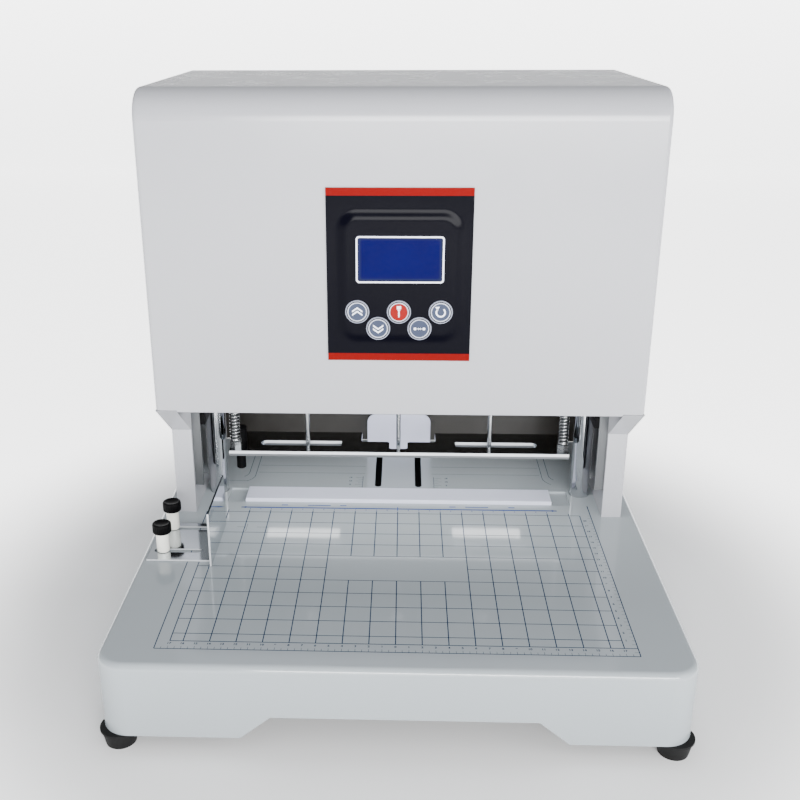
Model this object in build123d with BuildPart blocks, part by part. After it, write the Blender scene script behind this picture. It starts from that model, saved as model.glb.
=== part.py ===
"""An electric paper punch with three drills, a printed table and a motor lift.

Millimetres. X points right, Y to the rear and Z up. The origin is the middle of the
space that the machine takes on the surface under its feet.
"""

import math
import os

from build123d import *

os.makedirs("parts", exist_ok=True)

# ---------------------------------------------------------------- driving dimensions
SHEET = 2.0  # folded steel sheet
GAP = 0.3  # least space between pieces that move apart
FIT = 0.05  # radial play of a shaft in its bore

# base
BASE_W, BASE_D = 444.0, 420.0
BASE_Z, TABLE_Z = 14.0, 76.5
BASE_R, BASE_BEND = 22.0, 5.0
NOTCH_X, NOTCH_TOP_Z = 7.0, 33.0
NOTCH_TOP_HALF, NOTCH_LOW_HALF = 98.9, 122.0
GUSSET, GUSSET_T = 36.0, 3.0

# feet
FOOT_IN_X, FOOT_IN_FRONT, FOOT_IN_REAR = 13.5, 13.0, 14.0  # in from the housing's sides
FOOT_R, FOOT_LOW_R, FOOT_LIP = 15.0, 11.5, 1.5
FOOT_BORE_R, FOOT_BORE_DEPTH = 6.5, 6.0

# chassis, posts and top plate
CHASSIS_T = 12.0
CHASSIS_X, CHASSIS_FRONT_Y, CHASSIS_REAR_Y = 200.0, 20.0, 205.0
POST_X, POST_Y, POST_R, POST_STUB_R = 176.0, 79.0, 9.0, 6.0
POST_TOP_Z = 372.0
TOP_PLATE_T, TOP_PLATE_X = 12.0, 190.0
TOP_PLATE_FRONT_Y, TOP_PLATE_REAR_Y = 50.0, 172.0
POST_NUT_AF, POST_NUT_H = 18.0, 10.0
EAR_FRONT_Y, EAR_REAR_Y = 70.0, 150.0
STOP_WINDOW_X = 34.0

# pocket and cutting mat
POCKET_X, POCKET_FRONT_Y, POCKET_REAR_Y = 164.3, 53.0, 82.5
TRAY_X, TRAY_T, TRAY_EDGE = 168.0, 2.0, 4.5
MAT_X, MAT_FRONT_Y, MAT_REAR_Y, MAT_TOP_Z = 146.5, 53.3, 79.3, 80.0

# carriage
CARRIAGE_Z, CARRIAGE_T = 250.0, 12.0
CARRIAGE_X, CARRIAGE_WING_X = 178.0, 196.0
CARRIAGE_FRONT_Y, CARRIAGE_WING_Y, CARRIAGE_REAR_Y = 40.0, 63.0, 150.0
BUSH_R, BUSH_Z, BUSH_H, BUSH_FLANGE_R, BUSH_FLANGE_T = 13.0, 238.0, 30.0, 16.0, 4.0

# lift
LIFT_Y, LIFT_R, LIFT_LOW_Z = 134.0, 6.0, 196.0
LIFT_NUT_R, LIFT_NUT_H = 11.0, 26.0
LIFT_NUT_RISE = 8.0
COUPLING_R, COUPLING_H, COUPLING_FLAT = 10.0, 26.0, 8.0
GEARBOX_R, GEARBOX_H, MOTOR_R, MOTOR_H = 22.0, 30.0, 18.0, 45.0
LIFT_SHAFT_R, LIFT_SHAFT_L, TERMINALS_X, TERMINALS_Y, TERMINALS_H = 4.0, 14.0, 8.0, 4.0, 2.0

# slide rails
RAIL_FRONT_Y, RAIL_REAR_Y, RAIL_LOW_Z, RAIL_TOP_Z = 34.0, 62.0, 103.0, 300.0
RAIL_DEPTH, RAIL_WALL, RAIL_LIP = 8.0, 2.0, 2.4
RUNNER_LOW_Z, RUNNER_T = 164.0, 4.0
STOP_H, STOP_T = 11.0, 4.0
RAIL_SCREW_Z = (110.0, 153.0, 190.0)

# pitch mechanism
PITCH_ROD_Y, PITCH_ROD_Z, PITCH_ROD_R = (48.0, 84.0), 274.0, 4.0
PITCH_SCREW_Y = 112.0
BLOCK_FRONT_Y, BLOCK_REAR_Y = 40.0, 120.0
BLOCK_HALF, BLOCK_H = 18.0, 20.0
END_BLOCK_X, END_BLOCK_W = 136.0, 11.0
PITCH, PITCH_MIN, PITCH_MAX = 86.0, 65.0, 108.0
PITCH_MOTOR_W, PITCH_MOTOR_H, PITCH_MOTOR_L = 35.0, 29.0, 40.0
PITCH_SHAFT_R, PITCH_SHAFT_L, MOTOR_BRACKET_T = 2.5, 14.0, 3.5
KNOB_R, KNOB_T = 7.0, 5.5

# drills
DRILL_Y, DRILL_R, DRILL_TIP_Z = 66.0, 2.0, 128.2
SHAFT_R, CHUCK_R, CHUCK_Z, CHUCK_H = 4.0, 8.0, 205.0, 35.0
DRILL_MOTOR_R, DRILL_MOTOR_H, MOTOR_CAP_R, MOTOR_CAP_H = 14.0, 60.0, 5.0, 4.0
CHUCK_NOSE_R, CHUCK_NOSE_H, DRILL_WALL, DRILL_HOLLOW = 4.5, 6.0, 0.5, 12.0
SPINDLE_IN_MOTOR = 11.0

# presser
PRESSER_Z, PRESSER_T, PRESSER_X = 128.0, 5.0, 158.7
PRESSER_FRONT_Y, PRESSER_REAR_Y = 46.0, 93.0
SLOT_IN_X, SLOT_OUT_X, SLOT_FRONT_Y, SLOT_REAR_Y = 54.0, 131.0, 60.3, 71.3
NOTCH_HALF, NOTCH_FLOOR_Y, DRILL_NOTCH_HALF, DRILL_NOTCH_Y = 35.3, 70.8, 8.5, 54.6
STUD_X, STUD_Y, STUD_R, STUD_TOP_Z = 153.5, 56.0, 3.0, 270.0
STUD_NUT_AF, STUD_NUT_H = 10.0, 6.5

# presser springs
SPRING_R, WIRE_R, SPRING_CURLS = 4.6, 0.62, 8
SPRING_Z, SPRING_TOP_Z = 139.8, 249.7

# paper feeler
FEELER_X, FEELER_Y, FEELER_R, FEELER_Z, FEELER_TOP_Z = -151.6, 70.0, 4.5, 105.1, 147.5
SLEEVE_R, SLEEVE_H = 6.5, 12.0

# pillars
PILLAR_IN_X, PILLAR_OUT_X = 189.8, 207.5
PILLAR_FRONT_Y, PILLAR_BEND_Z = 30.6, 160.5
PILLAR_IN_TOP_Z = 196.0

# head cover
HEAD_FRONT_Y, HEAD_REAR_Y, HEAD_LOW_Z, HEAD_TOP_Z = -22.0, 210.0, 200.5, 464.5
HEAD_BEND, HEAD_SIDE_BEND, HEAD_RETURN = 24.0, 4.0, 20.0
HEM_X, HEM_FRONT_Y, HEM_REAR_Y, HEM_Z = 189.3, -21.0, -9.0, 198.7
REAR_COVER_PLAY = 0.5

# control panel
PANEL_X, PANEL_LOW_Z, PANEL_TOP_Z, PANEL_T = 58.5, 247.7, 390.2, 1.2
LCD_X, LCD_Z, LCD_W, LCD_H = 0.6, 332.8, 71.7, 38.5
BUTTONS = {
    "up": (-34.0, 289.5),
    "punch": (0.0, 289.5),
    "reset": (34.0, 289.5),
    "down": (-16.9, 275.5),
    "select": (16.9, 275.5),
}
BUTTON_R, BUTTON_FLANGE_R, BUTTON_PROUD, BUTTON_EDGE = 9.7, 10.6, 0.8, 0.4
PLUNGER_R, PLUNGER_L, SWITCH_W, SWITCH_FRONT = 3.0, 1.7, 6.0, 4.0
LCD_RIM = 4.0

# circuit boards, their spacers and their tall components
BOARD_Y, BOARD_T, SPACER_R = -13.5, 1.6, 3.0
PANEL_BOARD_X, PANEL_BOARD_Z = 58.0, (256.0, 362.0)
PANEL_SPACER_X, PANEL_SPACER_Z = 54.0, (260.0, 309.0, 358.0)
CONTROL_BOARD_X, CONTROL_BOARD_Z, CONTROL_BOARD_OFF = 70.0, (290.0, 360.0), 14.0
CONTROL_SPACER_X, CONTROL_SPACER_Z = 64.0, (296.0, 354.0)
COMPONENTS = {  # middle X, middle Z: width, height, depth
    (-45.0, 325.0): (30.0, 40.0, 16.0),
    (-5.0, 338.0): (22.0, 22.0, 6.0),
    (-5.0, 308.0): (22.0, 14.0, 9.0),
    (35.0, 340.0): (16.0, 16.0, 22.0),
    (55.0, 310.0): (12.0, 24.0, 11.0),
}

# backstop
STOP_SLOT_X, STOP_SLOT_W, STOP_SLOT_FRONT_Y, STOP_SLOT_REAR_Y = 20.0, 6.5, 89.0, 196.0
BACKSTOP_Y, BACKSTOP_W, BACKSTOP_UP, BACKSTOP_FOOT = 168.0, 66.0, 45.0, 24.0
BACKSTOP_BOLT_Y, CLAMP_W, CLAMP_T = 180.0, 12.0, 3.0

# side gauge
GAUGE_X, GAUGE_T = -157.7, 1.5
GAUGE_FRONT_Y, GAUGE_REAR_Y, GAUGE_TOP_Z = -69.5, 6.5, 126.5
GAUGE_FOOT_X, GAUGE_FOOT_FRONT_Y, GAUGE_FOOT_REAR_Y = -215.5, -61.7, 4.0
GAUGE_SLOT_X, GAUGE_SLOT_W = (-212.0, -170.0), 6.5
THUMB_X, THUMB_Y = -204.0, {"front": -46.0, "rear": -5.0}
THUMB_COLLAR_R, THUMB_COLLAR_H, THUMB_CAP_R, THUMB_CAP_H = 5.65, 17.9, 8.15, 9.0
THUMB_SHANK_R = 2.5

# power inlet with its rocker
INLET_X, INLET_Z, INLET_W, INLET_H = 142.0, 42.0, 62.0, 40.0
INLET_BODY_W, INLET_BODY_H, INLET_FRONT_Y = 56.0, 34.0, 186.0
SOCKET_X, SOCKET_W, SOCKET_H, SOCKET_DEPTH = 128.5, 27.0, 20.0, 17.0
ROCKER_X, ROCKER_W, ROCKER_H, ROCKER_PIVOT_Y = 158.0, 14.8, 22.0, 203.6
ROCKER_TILT, ROCKER_PIN_R, ROCKER_PIN_L = 8.0, 2.0, 1.3
PIN_L = 12.5

# power supply
SUPPLY_X, SUPPLY_Y, SUPPLY_LOW_Z, SUPPLY_DROP = (60.0, 180.0), (100.0, 178.0), 24.0, 6.0
SUPPLY_SPACER_R, SUPPLY_SPACER_IN = 4.0, 10.0

# ---------------------------------------------------------------- worked-out values
HALF_W, HALF_D = BASE_W / 2, BASE_D / 2
SHEET_LOW_Z = TABLE_Z - SHEET
CHASSIS_Z = SHEET_LOW_Z - CHASSIS_T
TRAY_Z = SHEET_LOW_Z - TRAY_T
ON_TABLE_Z = TABLE_Z + GAP
CARRIAGE_TOP_Z = CARRIAGE_Z + CARRIAGE_T
REAR_COVER_Y = HEAD_REAR_Y - 2 * SHEET - REAR_COVER_PLAY
FOOT_X = HALF_W - FOOT_IN_X
FOOT_Y = (FOOT_IN_FRONT - HALF_D, HALF_D - FOOT_IN_REAR)
FEET = [(x, y) for y in FOOT_Y for x in (-FOOT_X, FOOT_X)]
TURN = {"x": (0, 90, 0), "y": (-90, 0, 0), "z": (0, 0, 0)}
BOTH = (-1, 1)
SIDES = {"left": -1, "right": 1}


def block(x, y, z, mode=Mode.ADD):
    """Adds a box between two limits along each axis."""
    with Locations((sum(x) / 2, sum(y) / 2, sum(z) / 2)):
        Box(abs(x[1] - x[0]), abs(y[1] - y[0]), abs(z[1] - z[0]), mode=mode)


def rod(start, axis, radius, length, mode=Mode.ADD):
    """Adds a cylinder that runs from a start point along an axis."""
    with Locations(Location(start, TURN[axis])):
        bottom = (Align.CENTER, Align.CENTER, Align.MIN)
        Cylinder(radius, length, align=bottom, mode=mode)


def facing(y):
    """A plane across the machine at y, seen from the front: sketch X is X, sketch Y is Z."""
    return Plane(origin=(0, y, 0), x_dir=(1, 0, 0), z_dir=(0, -1, 0))


def sideways(x):
    """A plane along the machine at x: sketch X is Y, sketch Y is Z."""
    return Plane(origin=(x, 0, 0), x_dir=(0, 1, 0), z_dir=(1, 0, 0))


def save(piece, name):
    """Names a finished piece and writes it."""
    piece.part.label = name
    export_step(piece.part, f"parts/{name}.step")


def hex_radius(across_flats):
    """The corner radius of a hexagon from its width over two flats."""
    return across_flats / math.sqrt(3)


# ---------------------------------------------------------------- base
with BuildPart() as base_housing:
    with BuildSketch(Plane.XY.offset(BASE_Z)):
        RectangleRounded(BASE_W, BASE_D, BASE_R)
    extrude(amount=TABLE_Z - BASE_Z)
    fillet(base_housing.faces().sort_by(Axis.Z)[-1].edges(), BASE_BEND)
    offset(amount=-SHEET, openings=base_housing.faces().sort_by(Axis.Z)[0])
    with BuildSketch(facing(-HALF_D + 2 * SHEET)):
        with Locations((NOTCH_X, 0)):
            Polygon(
                (-NOTCH_LOW_HALF, BASE_Z - 1),
                (NOTCH_LOW_HALF, BASE_Z - 1),
                (NOTCH_LOW_HALF, BASE_Z),
                (NOTCH_TOP_HALF, NOTCH_TOP_Z),
                (-NOTCH_TOP_HALF, NOTCH_TOP_Z),
                (-NOTCH_LOW_HALF, BASE_Z),
                align=None,
            )
    extrude(amount=3 * SHEET, mode=Mode.SUBTRACT)
    with BuildSketch(Plane.XY.offset(SHEET_LOW_Z - 1)):
        with Locations((0, (POCKET_FRONT_Y + POCKET_REAR_Y) / 2)):
            Rectangle(2 * POCKET_X, POCKET_REAR_Y - POCKET_FRONT_Y)
        with Locations(*[(x * STOP_SLOT_X, (STOP_SLOT_FRONT_Y + STOP_SLOT_REAR_Y) / 2) for x in BOTH]):
            SlotOverall(STOP_SLOT_REAR_Y - STOP_SLOT_FRONT_Y, STOP_SLOT_W, rotation=90)
        with Locations(*[(x * POST_X, POST_Y) for x in BOTH]):
            Circle(POST_R + GAP)
        with Locations(*[(THUMB_X, y) for y in THUMB_Y.values()]):
            Circle(THUMB_SHANK_R + FIT)
    extrude(amount=SHEET + 2, mode=Mode.SUBTRACT)
    # welded nuts under the two thumb screws
    with BuildSketch(Plane.XY.offset(SHEET_LOW_Z - 8)):
        for y in THUMB_Y.values():
            with Locations((THUMB_X, y)):
                RegularPolygon(hex_radius(8), 6)
                Circle(THUMB_SHANK_R + FIT, mode=Mode.SUBTRACT)
    extrude(amount=8)
    with BuildSketch(facing(HALF_D + SHEET)):
        with Locations((INLET_X, INLET_Z)):
            Rectangle(INLET_BODY_W + 2 * GAP, INLET_BODY_H + 2 * GAP)
    extrude(amount=3 * SHEET, mode=Mode.SUBTRACT)
save(base_housing, "base_housing")

with BuildPart() as corner_gussets:
    with BuildSketch(Plane.XY.offset(BASE_Z)):
        inner_x, inner_y = HALF_W - SHEET, HALF_D - SHEET
        for x, y in FEET:
            corner = math.copysign(inner_x - GUSSET / 2, x), math.copysign(inner_y - GUSSET / 2, y)
            with Locations(corner):
                Rectangle(GUSSET, GUSSET)
            with Locations((x, y)):
                Circle(THUMB_SHANK_R + GAP, mode=Mode.SUBTRACT)
        RectangleRounded(2 * inner_x, 2 * inner_y, BASE_R - SHEET, mode=Mode.INTERSECT)
    extrude(amount=GUSSET_T)
save(corner_gussets, "corner_gussets")

with BuildPart() as rubber_feet:
    for x, y in FEET:
        with Locations(Location((x, y, 0))):
            Cone(
                FOOT_LOW_R,
                FOOT_R - 1,
                BASE_Z - FOOT_LIP,
                align=(Align.CENTER, Align.CENTER, Align.MIN),
            )
        rod((x, y, BASE_Z - FOOT_LIP), "z", FOOT_R, FOOT_LIP)
        rod((x, y, 0), "z", FOOT_BORE_R, FOOT_BORE_DEPTH, Mode.SUBTRACT)
        rod((x, y, 0), "z", THUMB_SHANK_R + GAP, BASE_Z, Mode.SUBTRACT)
save(rubber_feet, "rubber_feet")

with BuildPart() as foot_bolts:
    for x, y in FEET:
        rod((x, y, FOOT_BORE_DEPTH - 3), "z", 4.5, 3)
        rod((x, y, FOOT_BORE_DEPTH), "z", THUMB_SHANK_R, 18)
    with BuildSketch(Plane.XY.offset(BASE_Z + GUSSET_T)):
        with Locations(*FEET):
            RegularPolygon(hex_radius(8), 6)
    extrude(amount=4)
save(foot_bolts, "foot_bolts")

with BuildPart() as chassis_plate:
    block((-CHASSIS_X, CHASSIS_X), (CHASSIS_FRONT_Y, CHASSIS_REAR_Y), (CHASSIS_Z, SHEET_LOW_Z))
    tray_y = (POCKET_FRONT_Y - TRAY_EDGE, POCKET_REAR_Y + TRAY_EDGE - 1.5)
    block((-TRAY_X, TRAY_X), tray_y, (TRAY_Z, SHEET_LOW_Z), Mode.SUBTRACT)
    window_y = (STOP_SLOT_FRONT_Y - 3, STOP_SLOT_REAR_Y + 5)
    block((-STOP_WINDOW_X, STOP_WINDOW_X), window_y, (CHASSIS_Z, SHEET_LOW_Z), Mode.SUBTRACT)
    for side in BOTH:
        rod((side * POST_X, POST_Y, CHASSIS_Z), "z", POST_STUB_R, CHASSIS_T, Mode.SUBTRACT)
save(chassis_plate, "chassis_plate")

with BuildPart() as mat_tray:
    block((-TRAY_X, TRAY_X), tray_y, (TRAY_Z, SHEET_LOW_Z))
    for side in BOTH:
        rod((side * POST_X, POST_Y, TRAY_Z), "z", POST_R + GAP, TRAY_T, Mode.SUBTRACT)
save(mat_tray, "mat_tray")

with BuildPart() as cutting_mat:
    block((-MAT_X, MAT_X), (MAT_FRONT_Y, MAT_REAR_Y), (SHEET_LOW_Z, MAT_TOP_Z))
    chamfer(cutting_mat.faces().sort_by(Axis.Z)[-1].edges(), 0.5)
save(cutting_mat, "cutting_mat")

# ---------------------------------------------------------------- posts and top plate
with BuildPart() as guide_posts:
    for side in BOTH:
        x = side * POST_X
        rod((x, POST_Y, SHEET_LOW_Z), "z", POST_R, POST_TOP_Z - SHEET_LOW_Z)
        rod((x, POST_Y, CHASSIS_Z - POST_NUT_H), "z", POST_STUB_R, CHASSIS_T + POST_NUT_H)
        rod((x, POST_Y, POST_TOP_Z), "z", POST_STUB_R, TOP_PLATE_T + POST_NUT_H)
save(guide_posts, "guide_posts")

with BuildPart() as post_nuts:
    for z in (CHASSIS_Z - POST_NUT_H, POST_TOP_Z + TOP_PLATE_T):
        with BuildSketch(Plane.XY.offset(z)):
            with Locations(*[(x * POST_X, POST_Y) for x in BOTH]):
                RegularPolygon(hex_radius(POST_NUT_AF), 6)
                Circle(POST_STUB_R, mode=Mode.SUBTRACT)
        extrude(amount=POST_NUT_H)
save(post_nuts, "post_nuts")

with BuildPart() as top_plate:
    plate_y = (TOP_PLATE_FRONT_Y, TOP_PLATE_REAR_Y)
    block((-TOP_PLATE_X, TOP_PLATE_X), plate_y, (POST_TOP_Z, POST_TOP_Z + TOP_PLATE_T))
    rod((0, LIFT_Y, POST_TOP_Z), "z", LIFT_R + 2, TOP_PLATE_T, Mode.SUBTRACT)
    for side in BOTH:
        rod((side * POST_X, POST_Y, POST_TOP_Z), "z", POST_STUB_R, TOP_PLATE_T, Mode.SUBTRACT)
        # ears that the pillars carry
        ear_x = (side * TOP_PLATE_X, side * (PILLAR_OUT_X - SHEET))
        block(ear_x, (EAR_FRONT_Y, EAR_REAR_Y), (POST_TOP_Z, POST_TOP_Z + TOP_PLATE_T))
save(top_plate, "top_plate")

# ---------------------------------------------------------------- lift
GEARBOX_Z = POST_TOP_Z + TOP_PLATE_T
with BuildPart() as lift_motor:
    rod((0, LIFT_Y, GEARBOX_Z), "z", GEARBOX_R, GEARBOX_H)
    rod((0, LIFT_Y, GEARBOX_Z + GEARBOX_H), "z", MOTOR_R, MOTOR_H)
    motor_top_z = GEARBOX_Z + GEARBOX_H + MOTOR_H
    terminals_y = (LIFT_Y - TERMINALS_Y, LIFT_Y + TERMINALS_Y)
    block((-TERMINALS_X, TERMINALS_X), terminals_y, (motor_top_z, motor_top_z + TERMINALS_H))
    rod((0, LIFT_Y, GEARBOX_Z), "z", LIFT_SHAFT_R + FIT, LIFT_SHAFT_L + 1, Mode.SUBTRACT)
save(lift_motor, "lift_motor")

with BuildPart() as lift_screw:
    coupling_z = POST_TOP_Z - GAP - COUPLING_H
    rod((0, LIFT_Y, LIFT_LOW_Z), "z", LIFT_R, coupling_z - LIFT_LOW_Z)
    rod((0, LIFT_Y, coupling_z), "z", COUPLING_R, COUPLING_H)
    shaft_z = coupling_z + COUPLING_H
    rod((0, LIFT_Y, shaft_z), "z", LIFT_SHAFT_R, GEARBOX_Z + LIFT_SHAFT_L - shaft_z)
    # the flat that lets the coupling be held
    flat_y = (LIFT_Y + COUPLING_FLAT, LIFT_Y + 2 * COUPLING_R)
    flat_z = (coupling_z + COUPLING_H / 3, coupling_z + COUPLING_H * 2 / 3)
    block((-COUPLING_R, COUPLING_R), flat_y, flat_z, Mode.SUBTRACT)
save(lift_screw, "lift_screw")

with BuildPart() as lift_nut:
    nut_z = CARRIAGE_Z - LIFT_NUT_H + LIFT_NUT_RISE
    rod((0, LIFT_Y, nut_z), "z", LIFT_NUT_R, LIFT_NUT_H)
    rod((0, LIFT_Y, nut_z), "z", LIFT_R + FIT, LIFT_NUT_H, Mode.SUBTRACT)
save(lift_nut, "lift_nut")

# ---------------------------------------------------------------- carriage
with BuildPart() as carriage_plate:
    with BuildSketch(Plane.XY.offset(CARRIAGE_Z)):
        with Locations((0, (CARRIAGE_FRONT_Y + CARRIAGE_REAR_Y) / 2)):
            Rectangle(2 * CARRIAGE_X, CARRIAGE_REAR_Y - CARRIAGE_FRONT_Y)
        with Locations((0, (CARRIAGE_WING_Y + CARRIAGE_REAR_Y) / 2)):
            Rectangle(2 * CARRIAGE_WING_X, CARRIAGE_REAR_Y - CARRIAGE_WING_Y)
        for side in BOTH:
            # the tab that holds the runner, between the rail's lips
            with Locations((side * (CARRIAGE_X + 1), (RAIL_FRONT_Y + RAIL_REAR_Y) / 2)):
                Rectangle(2 * (PILLAR_IN_X - RAIL_DEPTH + 1.4 - CARRIAGE_X - 1), 14)
            with Locations((side * POST_X, POST_Y)):
                Circle(BUSH_R, mode=Mode.SUBTRACT)
            with Locations((side * STUD_X, STUD_Y)):
                Circle(STUD_R + 0.5, mode=Mode.SUBTRACT)
            with Locations((side * (PITCH_MIN + PITCH_MAX) / 2, DRILL_Y)):
                SlotCenterToCenter(PITCH_MAX - PITCH_MIN, 2 * (SHAFT_R + 0.7), mode=Mode.SUBTRACT)
        with Locations((0, DRILL_Y)):
            Circle(SHAFT_R + 0.7, mode=Mode.SUBTRACT)
        with Locations((0, LIFT_Y)):
            Circle(LIFT_NUT_R, mode=Mode.SUBTRACT)
    extrude(amount=CARRIAGE_T)
save(carriage_plate, "carriage_plate")

with BuildPart() as linear_bushes:
    for side in BOTH:
        x = side * POST_X
        rod((x, POST_Y, BUSH_Z), "z", BUSH_R, BUSH_H)
        rod((x, POST_Y, CARRIAGE_Z - BUSH_FLANGE_T), "z", BUSH_FLANGE_R, BUSH_FLANGE_T)
        rod((x, POST_Y, BUSH_Z), "z", POST_R + FIT, BUSH_H, Mode.SUBTRACT)
save(linear_bushes, "linear_bushes")

# ---------------------------------------------------------------- slide rails
RAIL_MID_Y = (RAIL_FRONT_Y + RAIL_REAR_Y) / 2
RAIL_IN_X = PILLAR_IN_X - RAIL_DEPTH
RUNNER_IN_X = RAIL_IN_X + 1.4
with BuildPart() as slide_rails:
    for side in BOTH:
        rail_z = (RAIL_LOW_Z, RAIL_TOP_Z)
        block((side * RAIL_IN_X, side * PILLAR_IN_X), (RAIL_FRONT_Y, RAIL_REAR_Y), rail_z)
        inner_y = (RAIL_FRONT_Y + RAIL_WALL, RAIL_REAR_Y - RAIL_WALL)
        inner_x = (side * (RAIL_IN_X + 1), side * (PILLAR_IN_X - RAIL_WALL))
        block(inner_x, inner_y, rail_z, Mode.SUBTRACT)
        mouth_y = (inner_y[0] + RAIL_LIP, inner_y[1] - RAIL_LIP)
        block((side * RAIL_IN_X, side * (RAIL_IN_X + 1)), mouth_y, rail_z, Mode.SUBTRACT)
save(slide_rails, "slide_rails")

with BuildPart() as rail_screws:
    for side in BOTH:
        for z in RAIL_SCREW_Z:
            head_x = side * (PILLAR_IN_X - RAIL_WALL)
            with Locations(Location((head_x, RAIL_MID_Y, z), (0, -90 * side, 0))):
                Cone(4.5, 3.2, 1.6, align=(Align.CENTER, Align.CENTER, Align.MIN))
save(rail_screws, "rail_screws")

with BuildPart() as slide_runners:
    for side in BOTH:
        x = (side * RUNNER_IN_X, side * (RUNNER_IN_X + RUNNER_T))
        y = (RAIL_FRONT_Y + RAIL_WALL + 0.4, RAIL_REAR_Y - RAIL_WALL - 0.4)
        block(x, y, (RUNNER_LOW_Z, RAIL_TOP_Z))
        # the groove that clears the rail's screw heads
        groove_x = (side * (RUNNER_IN_X + RUNNER_T / 2), side * (RUNNER_IN_X + RUNNER_T))
        groove_y = (RAIL_MID_Y - 5.2, RAIL_MID_Y + 5.2)
        block(groove_x, groove_y, (RUNNER_LOW_Z, RAIL_TOP_Z), Mode.SUBTRACT)
save(slide_runners, "slide_runners")

with BuildPart() as runner_stops:
    for side in BOTH:
        z = (RUNNER_LOW_Z, RUNNER_LOW_Z + STOP_H)
        head_x = RAIL_IN_X - 0.4
        block((side * head_x, side * RUNNER_IN_X), (RAIL_MID_Y - 8, RAIL_MID_Y + 8), z)
        block((side * (head_x - STOP_T), side * head_x), (RAIL_MID_Y - 13, RAIL_MID_Y + 13), z)
save(runner_stops, "runner_stops")

# ---------------------------------------------------------------- pitch mechanism
BLOCK_Z = PITCH_ROD_Z - BLOCK_H / 2
with BuildPart() as rod_blocks:
    for x0, x1 in (
        (-END_BLOCK_X - END_BLOCK_W, -END_BLOCK_X),
        (-BLOCK_HALF, BLOCK_HALF),
        (END_BLOCK_X, END_BLOCK_X + END_BLOCK_W),
    ):
        block((x0, x1), (BLOCK_FRONT_Y, BLOCK_REAR_Y), (CARRIAGE_TOP_Z, BLOCK_Z + BLOCK_H))
        for y in PITCH_ROD_Y:
            rod((x0, y, PITCH_ROD_Z), "x", PITCH_ROD_R, x1 - x0, Mode.SUBTRACT)
        rod((x0, PITCH_SCREW_Y, PITCH_ROD_Z), "x", PITCH_ROD_R + FIT, x1 - x0, Mode.SUBTRACT)
    rod((0, DRILL_Y, CARRIAGE_TOP_Z), "z", SHAFT_R + FIT, BLOCK_H + 2, Mode.SUBTRACT)
save(rod_blocks, "rod_blocks")

with BuildPart() as pitch_rods:
    rod_x = END_BLOCK_X + END_BLOCK_W
    for y in PITCH_ROD_Y:
        rod((-rod_x, y, PITCH_ROD_Z), "x", PITCH_ROD_R, 2 * rod_x)
save(pitch_rods, "pitch_rods")

with BuildPart() as pitch_screw:
    rod((-rod_x, PITCH_SCREW_Y, PITCH_ROD_Z), "x", PITCH_ROD_R, 2 * rod_x + 3)
    rod((rod_x + 3, PITCH_SCREW_Y, PITCH_ROD_Z), "x", PITCH_SHAFT_R, PITCH_SHAFT_L)
    # a knob at the idle end
    neck_x = -rod_x - GAP - 0.2
    rod((neck_x, PITCH_SCREW_Y, PITCH_ROD_Z), "x", PITCH_ROD_R, -rod_x - neck_x)
    rod((neck_x - KNOB_T, PITCH_SCREW_Y, PITCH_ROD_Z), "x", KNOB_R, KNOB_T)
save(pitch_screw, "pitch_screw")

with BuildPart() as pitch_motor:
    motor_x = rod_x + MOTOR_BRACKET_T
    y = (PITCH_SCREW_Y - PITCH_MOTOR_W / 2, PITCH_SCREW_Y + PITCH_MOTOR_W / 2)
    block((motor_x, motor_x + PITCH_MOTOR_L), y, (CARRIAGE_TOP_Z, CARRIAGE_TOP_Z + PITCH_MOTOR_H))
    # the foot that joins it to the end block
    block((rod_x, motor_x), (y[0], BLOCK_REAR_Y), (CARRIAGE_TOP_Z, CARRIAGE_TOP_Z + SHEET))
    shaft_bore = PITCH_SHAFT_R + FIT
    rod((motor_x, PITCH_SCREW_Y, PITCH_ROD_Z), "x", shaft_bore, PITCH_SHAFT_L + 1, Mode.SUBTRACT)
save(pitch_motor, "pitch_motor")

for name, side in SIDES.items():
    with BuildPart() as slide_block:
        x = side * PITCH
        low, high = x - BLOCK_HALF, x + BLOCK_HALF
        block((low, high), (BLOCK_FRONT_Y, BLOCK_REAR_Y), (BLOCK_Z, BLOCK_Z + BLOCK_H))
        for y in (*PITCH_ROD_Y, PITCH_SCREW_Y):
            bore = PITCH_ROD_R + FIT
            rod((low, y, PITCH_ROD_Z), "x", bore, 2 * BLOCK_HALF, Mode.SUBTRACT)
        rod((x, DRILL_Y, BLOCK_Z), "z", SHAFT_R + FIT, BLOCK_H, Mode.SUBTRACT)
    save(slide_block, f"slide_block_{name}")

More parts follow.
